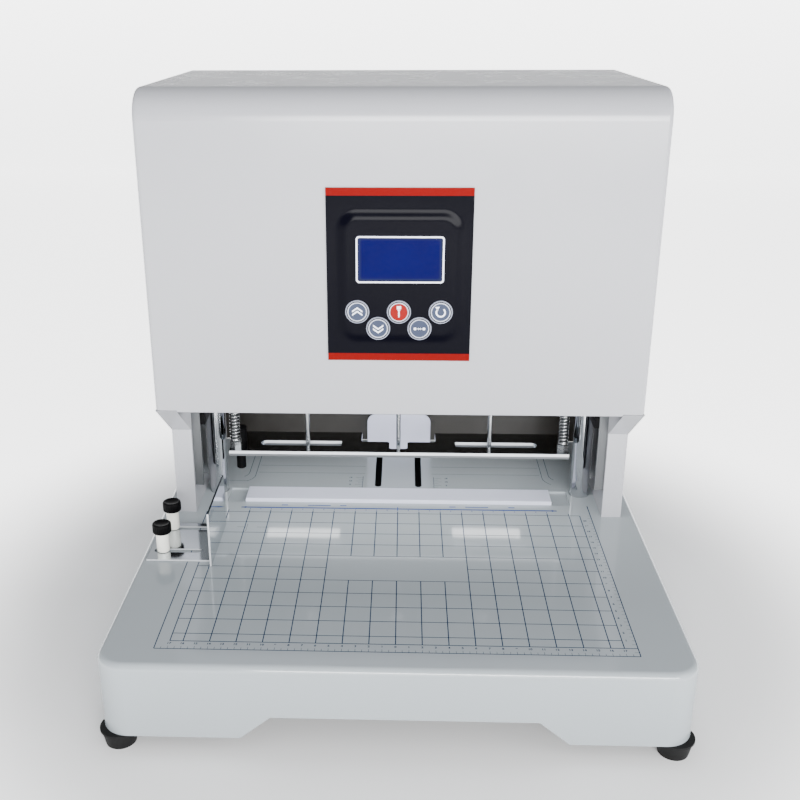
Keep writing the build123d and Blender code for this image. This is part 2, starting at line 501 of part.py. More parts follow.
# ---------------------------------------------------------------- drills
MOTOR_Z = BLOCK_Z + BLOCK_H
for name, x in {"left": -PITCH, "centre": 0, "right": PITCH}.items():
    with BuildPart() as drill_motor:
        rod((x, DRILL_Y, MOTOR_Z), "z", DRILL_MOTOR_R, DRILL_MOTOR_H)
        rod((x, DRILL_Y, MOTOR_Z + DRILL_MOTOR_H), "z", MOTOR_CAP_R, MOTOR_CAP_H)
        rod((x, DRILL_Y, MOTOR_Z), "z", SHAFT_R + FIT, SPINDLE_IN_MOTOR + 1, Mode.SUBTRACT)
    save(drill_motor, f"drill_motor_{name}")
    with BuildPart() as spindle:
        shaft_z = CHUCK_Z + CHUCK_H
        rod((x, DRILL_Y, shaft_z), "z", SHAFT_R, MOTOR_Z + SPINDLE_IN_MOTOR - shaft_z)
        rod((x, DRILL_Y, CHUCK_Z + CHUCK_NOSE_H), "z", CHUCK_R, CHUCK_H - CHUCK_NOSE_H)
        with Locations((x, DRILL_Y, CHUCK_Z)):
            bottom = (Align.CENTER, Align.CENTER, Align.MIN)
            Cone(CHUCK_NOSE_R, CHUCK_R, CHUCK_NOSE_H, align=bottom)
        rod((x, DRILL_Y, DRILL_TIP_Z), "z", DRILL_R, CHUCK_Z - DRILL_TIP_Z)
        # the hollow cutting end
        hollow_r = DRILL_R - DRILL_WALL
        rod((x, DRILL_Y, DRILL_TIP_Z), "z", hollow_r, DRILL_HOLLOW, Mode.SUBTRACT)
    save(spindle, f"spindle_{name}")

# ---------------------------------------------------------------- presser
with BuildPart() as presser_plate:
    with BuildSketch(Plane.XY.offset(PRESSER_Z)):
        with Locations((0, (PRESSER_FRONT_Y + PRESSER_REAR_Y) / 2)):
            Rectangle(2 * PRESSER_X, PRESSER_REAR_Y - PRESSER_FRONT_Y)
        slot_w = SLOT_REAR_Y - SLOT_FRONT_Y
        slot_y = (SLOT_FRONT_Y + SLOT_REAR_Y) / 2
        for side in BOTH:
            round_x = SLOT_OUT_X - slot_w / 2
            with Locations((side * (SLOT_IN_X + round_x) / 2, slot_y)):
                Rectangle(round_x - SLOT_IN_X, slot_w, mode=Mode.SUBTRACT)
            with Locations((side * round_x, slot_y)):
                Circle(slot_w / 2, mode=Mode.SUBTRACT)
        with Locations((0, (NOTCH_FLOOR_Y + PRESSER_REAR_Y) / 2)):
            Rectangle(2 * NOTCH_HALF, PRESSER_REAR_Y - NOTCH_FLOOR_Y, mode=Mode.SUBTRACT)
        with Locations((0, (DRILL_NOTCH_Y + NOTCH_FLOOR_Y) / 2)):
            notch_depth = NOTCH_FLOOR_Y - DRILL_NOTCH_Y
            Rectangle(2 * DRILL_NOTCH_HALF, notch_depth, mode=Mode.SUBTRACT)
        with Locations((FEELER_X, FEELER_Y)):
            Circle(FEELER_R + FIT, mode=Mode.SUBTRACT)
        with Locations(*[(x * STUD_X, STUD_Y) for x in BOTH]):
            Circle(STUD_R, mode=Mode.SUBTRACT)
    extrude(amount=PRESSER_T)
    uprights = presser_plate.edges().filter_by(Axis.Z)
    notch_floor = [
        e for e in uprights if abs(e.center().X) < NOTCH_HALF + 1 and e.center().Y < NOTCH_FLOOR_Y + 1
    ]
    fillet([e for e in notch_floor if abs(e.center().X) > 1], 3)
save(presser_plate, "presser_plate")

with BuildPart() as presser_studs:
    for side in BOTH:
        rod((side * STUD_X, STUD_Y, PRESSER_Z), "z", STUD_R, STUD_TOP_Z - PRESSER_Z)
save(presser_studs, "presser_studs")

with BuildPart() as stud_nuts:
    for z, height in ((PRESSER_Z + PRESSER_T, STUD_NUT_H), (CARRIAGE_TOP_Z + GAP, 5.0)):
        with BuildSketch(Plane.XY.offset(z)):
            with Locations(*[(x * STUD_X, STUD_Y) for x in BOTH]):
                RegularPolygon(hex_radius(STUD_NUT_AF), 6, rotation=30)
                Circle(STUD_R, mode=Mode.SUBTRACT)
        extrude(amount=height)
save(stud_nuts, "stud_nuts")

with BuildPart() as feeler_sleeve:
    rod((FEELER_X, FEELER_Y, PRESSER_Z + PRESSER_T), "z", SLEEVE_R, SLEEVE_H)
    rod((FEELER_X, FEELER_Y, PRESSER_Z + PRESSER_T), "z", FEELER_R + FIT, SLEEVE_H, Mode.SUBTRACT)
save(feeler_sleeve, "feeler_sleeve")

with BuildPart() as feeler:
    rod((FEELER_X, FEELER_Y, FEELER_Z), "z", FEELER_R, FEELER_TOP_Z - FEELER_Z)
    chamfer(feeler.edges().group_by(Axis.Z)[0], 1)
    collar_z = PRESSER_Z + PRESSER_T + SLEEVE_H + GAP
    rod((FEELER_X, FEELER_Y, collar_z), "z", SLEEVE_R, 2)
save(feeler, "feeler")

# ---------------------------------------------------------------- presser springs
def biarc_middle(start, start_way, end, end_way):
    """The point where two equal arcs meet between two points with given ways, and the way there."""
    chord = end - start
    both = start_way + end_way
    square = 2 * start_way.dot(end_way) - 2
    half = -2 * chord.dot(both)
    reach = (-half - math.sqrt(half * half - 4 * square * chord.dot(chord))) / (2 * square)
    first = start + start_way * reach
    last = end - end_way * reach
    return (first + last) / 2, (last - first).normalized()


def spring_point(angle, x):
    """A point of the spring's middle line and its way, at an angle in radians from the low end."""
    rise = (SPRING_TOP_Z - SPRING_Z - 2 * WIRE_R) / (2 * math.pi * SPRING_CURLS)
    point = Vector(
        x + SPRING_R * math.cos(angle),
        STUD_Y + SPRING_R * math.sin(angle),
        SPRING_Z + WIRE_R + rise * angle,
    )
    way = Vector(-SPRING_R * math.sin(angle), SPRING_R * math.cos(angle), rise)
    return point, way.normalized()


for name, side in SIDES.items():
    with BuildPart() as spring:
        with BuildLine() as wire:
            for step in range(2 * SPRING_CURLS):
                start, start_way = spring_point(step * math.pi, side * STUD_X)
                end, end_way = spring_point((step + 1) * math.pi, side * STUD_X)
                middle, middle_way = biarc_middle(start, start_way, end, end_way)
                TangentArc(start, middle, tangent=start_way)
                TangentArc(middle, end, tangent=middle_way)
        low_end, low_way = spring_point(0, side * STUD_X)
        with BuildSketch(Plane(origin=low_end, z_dir=low_way)):
            Circle(WIRE_R)
        sweep(path=wire.wires()[0])
    save(spring, f"presser_spring_{name}")

samples = [spring_point(math.pi * k / 12, 0)[0] for k in range(24 * SPRING_CURLS + 1)]
least = min(
    (a - b).length - 2 * WIRE_R
    for i, a in enumerate(samples)
    for b in samples[i + 12 :]
)
print(f"presser springs: least gap between turns {least:.2f} mm")

# ---------------------------------------------------------------- pillars
SLOPE_RISE = HEAD_LOW_Z - GAP - PILLAR_BEND_Z
SLOPE_RUN = PILLAR_FRONT_Y - HEAD_FRONT_Y
SLOPE = math.hypot(SLOPE_RISE, SLOPE_RUN)
SLOPE_TOP_Z = HEAD_LOW_Z - GAP
IN_TOP_Y = PILLAR_FRONT_Y - SLOPE_RUN * (PILLAR_IN_TOP_Z - PILLAR_BEND_Z) / SLOPE_RISE
SKIN_REAR_Y = REAR_COVER_Y + SHEET
SEAM_Y = HEAD_FRONT_Y + HEAD_RETURN + GAP
SEAM_Z = HEAD_TOP_Z - HEAD_RETURN - GAP

for name, side in SIDES.items():
    with BuildPart() as side_panel:
        # outer skin
        with BuildSketch(sideways(side * (PILLAR_OUT_X - SHEET / 2))):
            Polygon(
                (PILLAR_FRONT_Y, TABLE_Z),
                (PILLAR_FRONT_Y, PILLAR_BEND_Z),
                (HEAD_FRONT_Y, SLOPE_TOP_Z),
                (SEAM_Y, SLOPE_TOP_Z),
                (SEAM_Y, SEAM_Z),
                (SKIN_REAR_Y, SEAM_Z),
                (SKIN_REAR_Y, TABLE_Z),
                align=None,
            )
        extrude(amount=SHEET / 2, both=True)
        # inner skin, with the tab behind the rail
        with BuildSketch(sideways(side * (PILLAR_IN_X + SHEET / 2))):
            Polygon(
                (PILLAR_FRONT_Y, TABLE_Z),
                (PILLAR_FRONT_Y, PILLAR_BEND_Z),
                (IN_TOP_Y, PILLAR_IN_TOP_Z),
                (PILLAR_FRONT_Y, PILLAR_IN_TOP_Z),
                (PILLAR_FRONT_Y, RAIL_TOP_Z + 4),
                (RAIL_REAR_Y + 0.5, RAIL_TOP_Z + 4),
                (RAIL_REAR_Y + 0.5, PILLAR_IN_TOP_Z),
                (REAR_COVER_Y, PILLAR_IN_TOP_Z),
                (REAR_COVER_Y, TABLE_Z),
                align=None,
            )
        extrude(amount=SHEET / 2, both=True)
        # front strip, bent once
        with BuildSketch(sideways(side * (PILLAR_IN_X + PILLAR_OUT_X) / 2)):
            inner_bend = PILLAR_BEND_Z + SHEET * (SLOPE - SLOPE_RISE) / SLOPE_RUN
            Polygon(
                (PILLAR_FRONT_Y, TABLE_Z),
                (PILLAR_FRONT_Y, PILLAR_BEND_Z),
                (HEAD_FRONT_Y, SLOPE_TOP_Z),
                (HEAD_FRONT_Y + SHEET * SLOPE / SLOPE_RISE, SLOPE_TOP_Z),
                (PILLAR_FRONT_Y + SHEET, inner_bend),
                (PILLAR_FRONT_Y + SHEET, TABLE_Z),
                align=None,
            )
        extrude(amount=(PILLAR_OUT_X - PILLAR_IN_X) / 2, both=True)
        # rear flange and the laps behind the head cover's returns
        flange_x = (side * PILLAR_IN_X, side * (PILLAR_OUT_X - SHEET / 2))
        block(flange_x, (REAR_COVER_Y - SHEET, REAR_COVER_Y), (TABLE_Z, SEAM_Z))
        lap_x = (side * (PILLAR_OUT_X - 2 * SHEET), side * (PILLAR_OUT_X - SHEET))
        block(lap_x, (SEAM_Y - 14, SEAM_Y + 12), (HEAD_LOW_Z + 4, SEAM_Z - 12))
        block(lap_x, (SEAM_Y + 20, REAR_COVER_Y - 10), (SEAM_Z - 12, SEAM_Z + 14))
    save(side_panel, f"side_panel_{name}")

# ---------------------------------------------------------------- head cover
with BuildPart() as head_cover:
    with BuildSketch(sideways(0)):
        with Locations(((HEAD_FRONT_Y + HEAD_REAR_Y) / 2, (HEAD_LOW_Z + HEAD_TOP_Z) / 2)):
            Rectangle(HEAD_REAR_Y - HEAD_FRONT_Y, HEAD_TOP_Z - HEAD_LOW_Z)
    extrude(amount=PILLAR_OUT_X, both=True)
    front_top = head_cover.edges().filter_by(Axis.X).group_by(Axis.Z)[-1].sort_by(Axis.Y)[0]
    fillet(front_top, HEAD_BEND)
    side_edges = [
        e
        for e in head_cover.edges()
        if abs(abs(e.center().X) - PILLAR_OUT_X) < 0.1
        and (e.center().Y < HEAD_FRONT_Y + HEAD_BEND or e.center().Z > HEAD_TOP_Z - HEAD_BEND)
        and e.center().Z > HEAD_LOW_Z + 1
        and e.center().Y < HEAD_REAR_Y - 1
    ]
    fillet(side_edges, HEAD_SIDE_BEND)
    openings = [head_cover.faces().sort_by(Axis.Z)[0]]
    offset(amount=-SHEET, openings=openings)
    # the sides and the rear end in a narrow return
    block(
        (-HALF_W, HALF_W),
        (HEAD_FRONT_Y + HEAD_RETURN, HEAD_REAR_Y + 5),
        (HEAD_LOW_Z - 5, HEAD_TOP_Z - HEAD_RETURN),
        Mode.SUBTRACT,
    )
    # lower hem between the pillars
    block((-HEM_X, HEM_X), (HEM_FRONT_Y, HEM_REAR_Y), (HEM_Z, HEAD_LOW_Z + 0.2))
    # window behind the control panel
    window_z = (BUTTONS["down"][1] - BUTTON_FLANGE_R - 3, PANEL_TOP_Z - 6)
    block((-PANEL_X + 8, PANEL_X - 8), (HEAD_FRONT_Y - 1, HEAD_FRONT_Y + SHEET), window_z, Mode.SUBTRACT)
save(head_cover, "head_cover")

with BuildPart() as rear_cover:
    cover_x = PILLAR_OUT_X - SHEET - GAP
    block((-cover_x, cover_x), (REAR_COVER_Y, REAR_COVER_Y + SHEET), (ON_TABLE_Z, HEAD_TOP_Z - 2 * SHEET - 1))
    with BuildSketch(facing(REAR_COVER_Y + SHEET / 2)):
        with Locations((0, 400)):
            with GridLocations(0, 9, 1, 7):
                SlotOverall(90, 4)
    extrude(amount=SHEET, both=True, mode=Mode.SUBTRACT)
save(rear_cover, "rear_cover")

with BuildPart() as cover_screws:
    for x in BOTH:
        for z in (95.0, 265.0, 435.0):
            with Locations(Location((x * 199, REAR_COVER_Y + SHEET, z), TURN["y"])):
                Cone(3.6, 2.4, 1.8, align=(Align.CENTER, Align.CENTER, Align.MIN))
save(cover_screws, "cover_screws")

# ---------------------------------------------------------------- control panel
with BuildPart() as control_panel:
    with BuildSketch(facing(HEAD_FRONT_Y)):
        with Locations((0, (PANEL_LOW_Z + PANEL_TOP_Z) / 2)):
            Rectangle(2 * PANEL_X, PANEL_TOP_Z - PANEL_LOW_Z)
        with Locations(*BUTTONS.values()):
            Circle(BUTTON_R + GAP, mode=Mode.SUBTRACT)
        with Locations((LCD_X, LCD_Z)):
            RectangleRounded(LCD_W, LCD_H, 3, mode=Mode.SUBTRACT)
    extrude(amount=PANEL_T)
save(control_panel, "control_panel")

for name, (x, z) in BUTTONS.items():
    with BuildPart() as button:
        front_y = HEAD_FRONT_Y - PANEL_T - BUTTON_PROUD
        flange_y = HEAD_FRONT_Y + GAP
        rod((x, front_y, z), "y", BUTTON_R, flange_y - front_y)
        chamfer(button.edges().group_by(Axis.Y)[0], BUTTON_EDGE)
        rod((x, flange_y, z), "y", BUTTON_FLANGE_R, 1)
        rod((x, flange_y + 1, z), "y", PLUNGER_R, PLUNGER_L)
    save(button, f"button_{name}")

with BuildPart() as lcd_module:
    lcd_y = (HEAD_FRONT_Y + GAP, BOARD_Y)
    reach_x, reach_z = LCD_W / 2 + LCD_RIM, LCD_H / 2 + LCD_RIM
    block((LCD_X - reach_x, LCD_X + reach_x), lcd_y, (LCD_Z - reach_z, LCD_Z + reach_z))
save(lcd_module, "lcd_module")

with BuildPart() as panel_board:
    block((-PANEL_BOARD_X, PANEL_BOARD_X), (BOARD_Y, BOARD_Y + BOARD_T), PANEL_BOARD_Z)
    reach = SWITCH_W / 2
    for x, z in BUTTONS.values():
        switch_y = (HEAD_FRONT_Y + SWITCH_FRONT, BOARD_Y)
        block((x - reach, x + reach), switch_y, (z - reach, z + reach))
    for side in BOTH:
        for z in PANEL_SPACER_Z:
            start = (side * PANEL_SPACER_X, HEAD_FRONT_Y + SHEET, z)
            rod(start, "y", SPACER_R, BOARD_Y - HEAD_FRONT_Y - SHEET)
save(panel_board, "panel_board")

with BuildPart() as control_board:
    board_y = REAR_COVER_Y - CONTROL_BOARD_OFF
    spacer_y = board_y + BOARD_T
    block((-CONTROL_BOARD_X, CONTROL_BOARD_X), (board_y, spacer_y), CONTROL_BOARD_Z)
    for (x, z), (wide, high, deep) in COMPONENTS.items():
        component_z = (z - high / 2, z + high / 2)
        block((x - wide / 2, x + wide / 2), (board_y - deep, board_y), component_z)
    for side in BOTH:
        for z in CONTROL_SPACER_Z:
            start = (side * CONTROL_SPACER_X, spacer_y, z)
            rod(start, "y", SPACER_R, REAR_COVER_Y - spacer_y)
save(control_board, "control_board")

# ---------------------------------------------------------------- mains
with BuildPart() as power_supply:
    supply_top_z = CHASSIS_Z - SUPPLY_DROP
    block(SUPPLY_X, SUPPLY_Y, (SUPPLY_LOW_Z, supply_top_z))
    for x in (SUPPLY_X[0] + SUPPLY_SPACER_IN, SUPPLY_X[1] - SUPPLY_SPACER_IN):
        for y in (SUPPLY_Y[0] + SUPPLY_SPACER_IN, SUPPLY_Y[1] - SUPPLY_SPACER_IN):
            rod((x, y, supply_top_z), "z", SUPPLY_SPACER_R, SUPPLY_DROP)
save(power_supply, "power_supply")

with BuildPart() as power_inlet:
    inlet_x = (INLET_X - INLET_BODY_W / 2, INLET_X + INLET_BODY_W / 2)
    inlet_z = (INLET_Z - INLET_BODY_H / 2, INLET_Z + INLET_BODY_H / 2)
    block(inlet_x, (INLET_FRONT_Y, HALF_D), inlet_z)
    flange_x = (INLET_X - INLET_W / 2, INLET_X + INLET_W / 2)
    flange_z = (INLET_Z - INLET_H / 2, INLET_Z + INLET_H / 2)
    block(flange_x, (HALF_D, HALF_D + 1.5), flange_z)
    with BuildSketch(facing(HALF_D + 1.5)):
        with Locations((SOCKET_X, INLET_Z)):
            RectangleRounded(SOCKET_W, SOCKET_H, 3)
    extrude(amount=SOCKET_DEPTH, mode=Mode.SUBTRACT)
    # the rocker's well
    well_x = (ROCKER_X - ROCKER_W / 2 - GAP, ROCKER_X + ROCKER_W / 2 + GAP)
    block(well_x, (INLET_FRONT_Y + 3, HALF_D + 1.5), (INLET_Z - 12, INLET_Z + 12), Mode.SUBTRACT)
    # the bearings of the rocker's pins
    bearing_x = ROCKER_X - ROCKER_W / 2 - ROCKER_PIN_L - GAP
    bearing = (bearing_x, ROCKER_PIVOT_Y, INLET_Z)
    rod(bearing, "x", ROCKER_PIN_R + FIT, 2 * (ROCKER_X - bearing_x), Mode.SUBTRACT)
    # three flat contact pins
    for x, z in ((-7, -2), (0, 3), (7, -2)):
        socket_floor_y = HALF_D + 1.5 - SOCKET_DEPTH
        pin_y = (socket_floor_y, socket_floor_y + PIN_L)
        block((SOCKET_X + x - 1, SOCKET_X + x + 1), pin_y, (INLET_Z + z - 2, INLET_Z + z + 2))
save(power_inlet, "power_inlet")

with BuildPart() as rocker:
    with BuildSketch(sideways(ROCKER_X)):
        with Locations(Location((ROCKER_PIVOT_Y, INLET_Z), ROCKER_TILT)):
            Polygon(
                (-6, -5),
                (7, -ROCKER_H / 2),
                (5.4, 0),
                (7, ROCKER_H / 2),
                (-6, 5),
                align=None,
            )
    extrude(amount=ROCKER_W / 2, both=True)
    pin_x = ROCKER_X - ROCKER_W / 2 - ROCKER_PIN_L
    pin_start = (pin_x, ROCKER_PIVOT_Y, INLET_Z)
    rod(pin_start, "x", ROCKER_PIN_R, 2 * (ROCKER_X - pin_x))
save(rocker, "rocker")

# ---------------------------------------------------------------- backstop
with BuildPart() as backstop:
    with BuildSketch(facing(BACKSTOP_Y + SHEET)):
        with Locations((0, ON_TABLE_Z + BACKSTOP_UP / 2)):
            Rectangle(BACKSTOP_W, BACKSTOP_UP)
    extrude(amount=SHEET)
    upper = backstop.edges().filter_by(Axis.Y).group_by(Axis.Z)[-1]
    fillet(upper, 9)
    half = BACKSTOP_W / 2
    foot_y = (BACKSTOP_Y, BACKSTOP_Y + BACKSTOP_FOOT)
    block((-half, half), foot_y, (ON_TABLE_Z, ON_TABLE_Z + SHEET))
    for side in BOTH:
        start = (side * STOP_SLOT_X, BACKSTOP_BOLT_Y, ON_TABLE_Z)
        rod(start, "z", 3, SHEET, Mode.SUBTRACT)
save(backstop, "backstop")

with BuildPart() as backstop_clamp:
    strip_z = SHEET_LOW_Z - GAP - CLAMP_T
    strip_y = (BACKSTOP_BOLT_Y - CLAMP_W / 2, BACKSTOP_BOLT_Y + CLAMP_W / 2)
    block((-31, 31), strip_y, (strip_z, strip_z + CLAMP_T))
    for side in BOTH:
        x = side * STOP_SLOT_X
        rod((x, BACKSTOP_BOLT_Y, strip_z), "z", 3, ON_TABLE_Z + SHEET - strip_z)
        rod((x, BACKSTOP_BOLT_Y, ON_TABLE_Z + SHEET), "z", 5.5, 3)
save(backstop_clamp, "backstop_clamp")

# ---------------------------------------------------------------- side gauge
with BuildPart() as side_gauge:
    gauge_x = (GAUGE_X - GAUGE_T, GAUGE_X)
    block(gauge_x, (GAUGE_FRONT_Y, GAUGE_REAR_Y), (ON_TABLE_Z, GAUGE_TOP_Z))
    foot_y = (GAUGE_FOOT_FRONT_Y, GAUGE_FOOT_REAR_Y)
    block((GAUGE_FOOT_X, GAUGE_X), foot_y, (ON_TABLE_Z, ON_TABLE_Z + GAUGE_T))
    with BuildSketch(Plane.XY.offset(ON_TABLE_Z)):
        for y in THUMB_Y.values():
            with Locations((sum(GAUGE_SLOT_X) / 2, y)):
                SlotOverall(GAUGE_SLOT_X[1] - GAUGE_SLOT_X[0], GAUGE_SLOT_W)
    extrude(amount=GAUGE_T, mode=Mode.SUBTRACT)
save(side_gauge, "side_gauge")

for name, y in THUMB_Y.items():
    with BuildPart() as thumb_screw:
        collar_z = ON_TABLE_Z + GAUGE_T + GAP
        rod((THUMB_X, y, CHASSIS_Z), "z", THUMB_SHANK_R, collar_z - CHASSIS_Z)
        rod((THUMB_X, y, collar_z), "z", THUMB_COLLAR_R, THUMB_COLLAR_H)
        with BuildSketch(Plane.XY.offset(collar_z + THUMB_COLLAR_H)):
            with Locations((THUMB_X, y)):
                # the grip's flats
                RegularPolygon(THUMB_CAP_R, 24)
        extrude(amount=THUMB_CAP_H)
    save(thumb_screw, f"thumb_screw_{name}")
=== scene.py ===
"""How the electric hole punch looks: finishes, springs, thumb screws, print, panel and studio."""

import bpy
import numpy as np
from mathutils import Matrix, Vector


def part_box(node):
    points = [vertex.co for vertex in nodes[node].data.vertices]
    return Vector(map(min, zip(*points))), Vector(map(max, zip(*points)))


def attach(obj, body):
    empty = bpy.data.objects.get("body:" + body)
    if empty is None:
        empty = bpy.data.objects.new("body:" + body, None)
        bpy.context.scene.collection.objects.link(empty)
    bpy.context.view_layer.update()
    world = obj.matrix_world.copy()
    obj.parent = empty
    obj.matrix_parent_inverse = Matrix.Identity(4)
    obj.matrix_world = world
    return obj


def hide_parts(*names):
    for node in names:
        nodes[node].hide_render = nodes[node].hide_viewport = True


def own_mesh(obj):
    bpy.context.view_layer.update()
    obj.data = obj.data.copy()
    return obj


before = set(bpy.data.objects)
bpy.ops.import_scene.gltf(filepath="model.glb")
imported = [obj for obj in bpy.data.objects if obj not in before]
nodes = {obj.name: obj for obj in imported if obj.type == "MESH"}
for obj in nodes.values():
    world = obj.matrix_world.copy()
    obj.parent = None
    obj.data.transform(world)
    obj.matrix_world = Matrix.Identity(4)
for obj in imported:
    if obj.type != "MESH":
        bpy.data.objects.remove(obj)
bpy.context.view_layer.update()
MM = 0.001
EVEN = (1.0, 1.0, 1.0)
AS_COLOUR = {"out": 2, "data_type": "RGBA"}  # a Mix node on colours, with its colour output


# ---------------------------------------------------------------- small tools
def linear(code):
    """A colour from sRGB hex as linear values with full alpha."""
    parts = [int(code[i : i + 2], 16) / 255 for i in (1, 3, 5)]
    return (*[c / 12.92 if c <= 0.04045 else ((c + 0.055) / 1.055) ** 2.4 for c in parts], 1.0)


def connect(node, inputs):
    """Sets or links a node's inputs, given by name or number."""
    for key, value in inputs.items():
        if isinstance(value, bpy.types.NodeSocket):
            node.id_data.links.new(value, node.inputs[key])
        else:
            node.inputs[key].default_value = value


def add(tree, kind, inputs, out=0, **settings):
    """Adds a shader node with its settings and inputs, and gives one of its outputs."""
    node = tree.nodes.new("ShaderNode" + kind)
    for key, value in settings.items():
        setattr(node, key, value)
    connect(node, inputs)
    return node.outputs[out]


def blank(name):
    """A new material with its tree and its main shader."""
    made = bpy.data.materials.new(name)
    made.use_nodes = True
    tree = made.node_tree
    return made, tree, tree.nodes["Principled BSDF"]


def grain(tree, cells, detail=2.0, stretch=EVEN, seed=0.0):
    """Noise from 0 to 1 with so many cells per metre, which is 1000 over their width in mm.

    A stretch draws them finer along an axis.
    """
    place = add(tree, "TexCoord", {}, "Object")
    moved = add(tree, "Mapping", {"Vector": place, "Scale": stretch, "Location": (seed,) * 3})
    return add(tree, "TexNoise", {"Vector": moved, "Scale": cells, "Detail": detail}, "Fac")


def outside(tree, centre, half):
    """How far a point lies outside a box: the length of |point - centre| - half, kept above 0."""
    off = add(tree, "TexCoord", {}, "Object")
    for operation, value in (
        ("SUBTRACT", centre),
        ("ABSOLUTE", (0, 0, 0)),
        ("SUBTRACT", half),
        ("MAXIMUM", (0, 0, 0)),
    ):
        off = add(tree, "VectorMath", {0: off, 1: value}, operation=operation)
    return add(tree, "VectorMath", {0: off}, "Value", operation="LENGTH")


# ---------------------------------------------------------------- finishes made by one process
def powder_coat(name, colour, dull, rough, peel=0.02 * MM):
    """Paint sprayed as powder and baked: a faint orange peel and slow changes of tone."""
    made, tree, shader = blank(name)
    gloss = {"Value": grain(tree, 30, 4, seed=3), "To Min": rough * 0.8, "To Max": rough * 1.25}
    connect(
        shader,
        {
            "Base Color": add(
                tree,
                "Mix",
                {0: grain(tree, 7, 3), 6: linear(colour), 7: linear(dull)},
                **AS_COLOUR,
            ),
            "Roughness": add(tree, "MapRange", gloss),
            "Normal": add(tree, "Bump", {"Height": grain(tree, 420, seed=5), "Distance": peel}),
            "Specular IOR Level": 0.55,
        },
    )
    return made


def metal(name, colour, rough, lines=EVEN, depth=0.004 * MM, cells=90, dark="#8a8a8a"):
    """Bare metal, cloudy, with the marks of its making drawn finer along an axis.

    Real tool marks stand about 0.05 mm apart, too fine to show, so these are drawn coarser.
    """
    made, tree, shader = blank(name)
    marks = grain(tree, cells, 6, stretch=lines)
    cloud = add(tree, "MapRange", {"Value": grain(tree, 12, 3, seed=9), "To Max": 0.35})
    gloss = {"Value": marks, "To Min": rough * 0.7, "To Max": rough * 1.4}
    connect(
        shader,
        {
            "Metallic": 1.0,
            "Base Color": add(
                tree, "Mix", {0: cloud, 6: linear(colour), 7: linear(dark)}, **AS_COLOUR
            ),
            "Roughness": add(tree, "MapRange", gloss),
            "Normal": add(tree, "Bump", {"Height": marks, "Distance": depth}),
        },
    )
    return made


def moulded(name, colour, dull, rough, cells=900, depth=0.03 * MM, index=1.45):
    """Moulded plastic or rubber, with the spark-eroded skin of its mould.

    Its pits of about 0.05 mm are too fine to show, so they are drawn coarser.
    """
    made, tree, shader = blank(name)
    skin = grain(tree, cells, 3)
    gloss = {"Value": skin, "To Min": rough * 0.85, "To Max": rough * 1.15}
    connect(
        shader,
        {
            "Base Color": add(
                tree,
                "Mix",
                {0: grain(tree, 25, 3, seed=2), 6: linear(colour), 7: linear(dull)},
                **AS_COLOUR,
            ),
            "Roughness": add(tree, "MapRange", gloss),
            "Normal": add(tree, "Bump", {"Height": skin, "Distance": depth}),
            "IOR": index,
        },
    )
    return made


def printed_ink(name, colour, dull, rough=0.16, index=1.2):
    """Screen-printed ink, so thin that its colour shows and only a trace of its mesh."""
    return moulded(name, colour, dull, rough, cells=2000, depth=0.002 * MM, index=index)


# steel sheet, phosphated, powder coated in glossy light grey and baked: soft, even highlights
COAT, COAT_DULL = "#9fa0a5", "#9b9ca1"
paint = powder_coat("powder_coated_steel", COAT, COAT_DULL, 0.2)
# the table's coat flows out smoother, so that it mirrors what stands on it
TABLE_COAT, TABLE_DULL, TABLE_PEEL = "#979ea2", "#939a9e", 0.008 * MM
table_paint = powder_coat("powder_coated_table", TABLE_COAT, TABLE_DULL, 0.08, TABLE_PEEL)
# laser-cut sheet of the backstop, coated in a cleaner, slightly violet white
white_paint = powder_coat("powder_coated_white_sheet", "#abaec0", "#a5a8ba", 0.16)
# plates inside the base and the corner gussets, matt and near-black as painted shade, so that the
# table's slots look black
black_shade_plate = powder_coat("black_plate_painted_shade", "#0d0d0e", "#131314", 0.5)
# motor cans, drawn steel with black electrophoretic paint: satin, with even tone
motor_paint = powder_coat("black_dipped_motor_can", "#1b1b1c", "#232324", 0.32)
# rolled plate, zinc plated in a barrel: greyish and cloudy
zinc = metal("zinc_plated_steel", "#a4a6a8", 0.34, depth=0.01 * MM, cells=160)
# rails roll formed from the same strip, dulled by their oil: dark, with faint level bands; on the
# presser studs the same dark is painted shade between the spring's curls
dark_zinc_and_stud_shade = metal(
    "oiled_zinc_rails_and_stud_shade", "#5f6163", 0.38, (1, 1, 20), 0.008 * MM, cells=80, dark="#4a4b4d"
)
# machine screws and nuts, cold headed and bright zinc plated: pale, with sharp glints
screw = metal("bright_zinc_screws", "#b9bbbd", 0.24, depth=0.006 * MM, cells=300)
# posts and rods, ground between wheels and hard chromed: close to a mirror
chrome = metal("hard_chromed_bar", "#d6d8db", 0.07, (1, 1, 14), 0.0015 * MM, cells=60)
# drills and spindles, turned and ground round, which draws the highlight out along them
ground = metal("ground_tool_steel", "#cfd1d3", 0.13, (1, 1, 60), 0.003 * MM, cells=60)
# spring wire, cold coiled and nickel plated: small hard highlights on each curl
spring_wire = metal("nickel_plated_spring_wire", "#d2d4d6", 0.16, depth=0.002 * MM, cells=400)
# aluminium blocks, milled with the cutter's marks along Y: a streaked sheen
milled = metal("milled_aluminium", "#b8babd", 0.28, (30, 1, 30), 0.006 * MM, cells=60)
# bronze nut turned from bar: warm, with fine rings
bronze = metal("turned_bronze", "#b98a4e", 0.25, (1, 1, 50), 0.006 * MM, cells=60)
# folded and perforated aluminium round the supply: flat and grey
supply = metal("folded_aluminium_case", "#a9abad", 0.4, (1, 30, 1), 0.01 * MM, cells=80)
# black rubber of the feet, pressed in a mould: dull and deep
rubber = moulded("moulded_black_rubber", "#070708", "#0d0d0d", 0.6, index=1.3)
# black nylon of caps, stops and feeler; a low IOR keeps the pale studio out of it
black_plastic = moulded("moulded_black_nylon", "#050506", "#09090a", 0.36, 700, 0.02 * MM, 1.12)
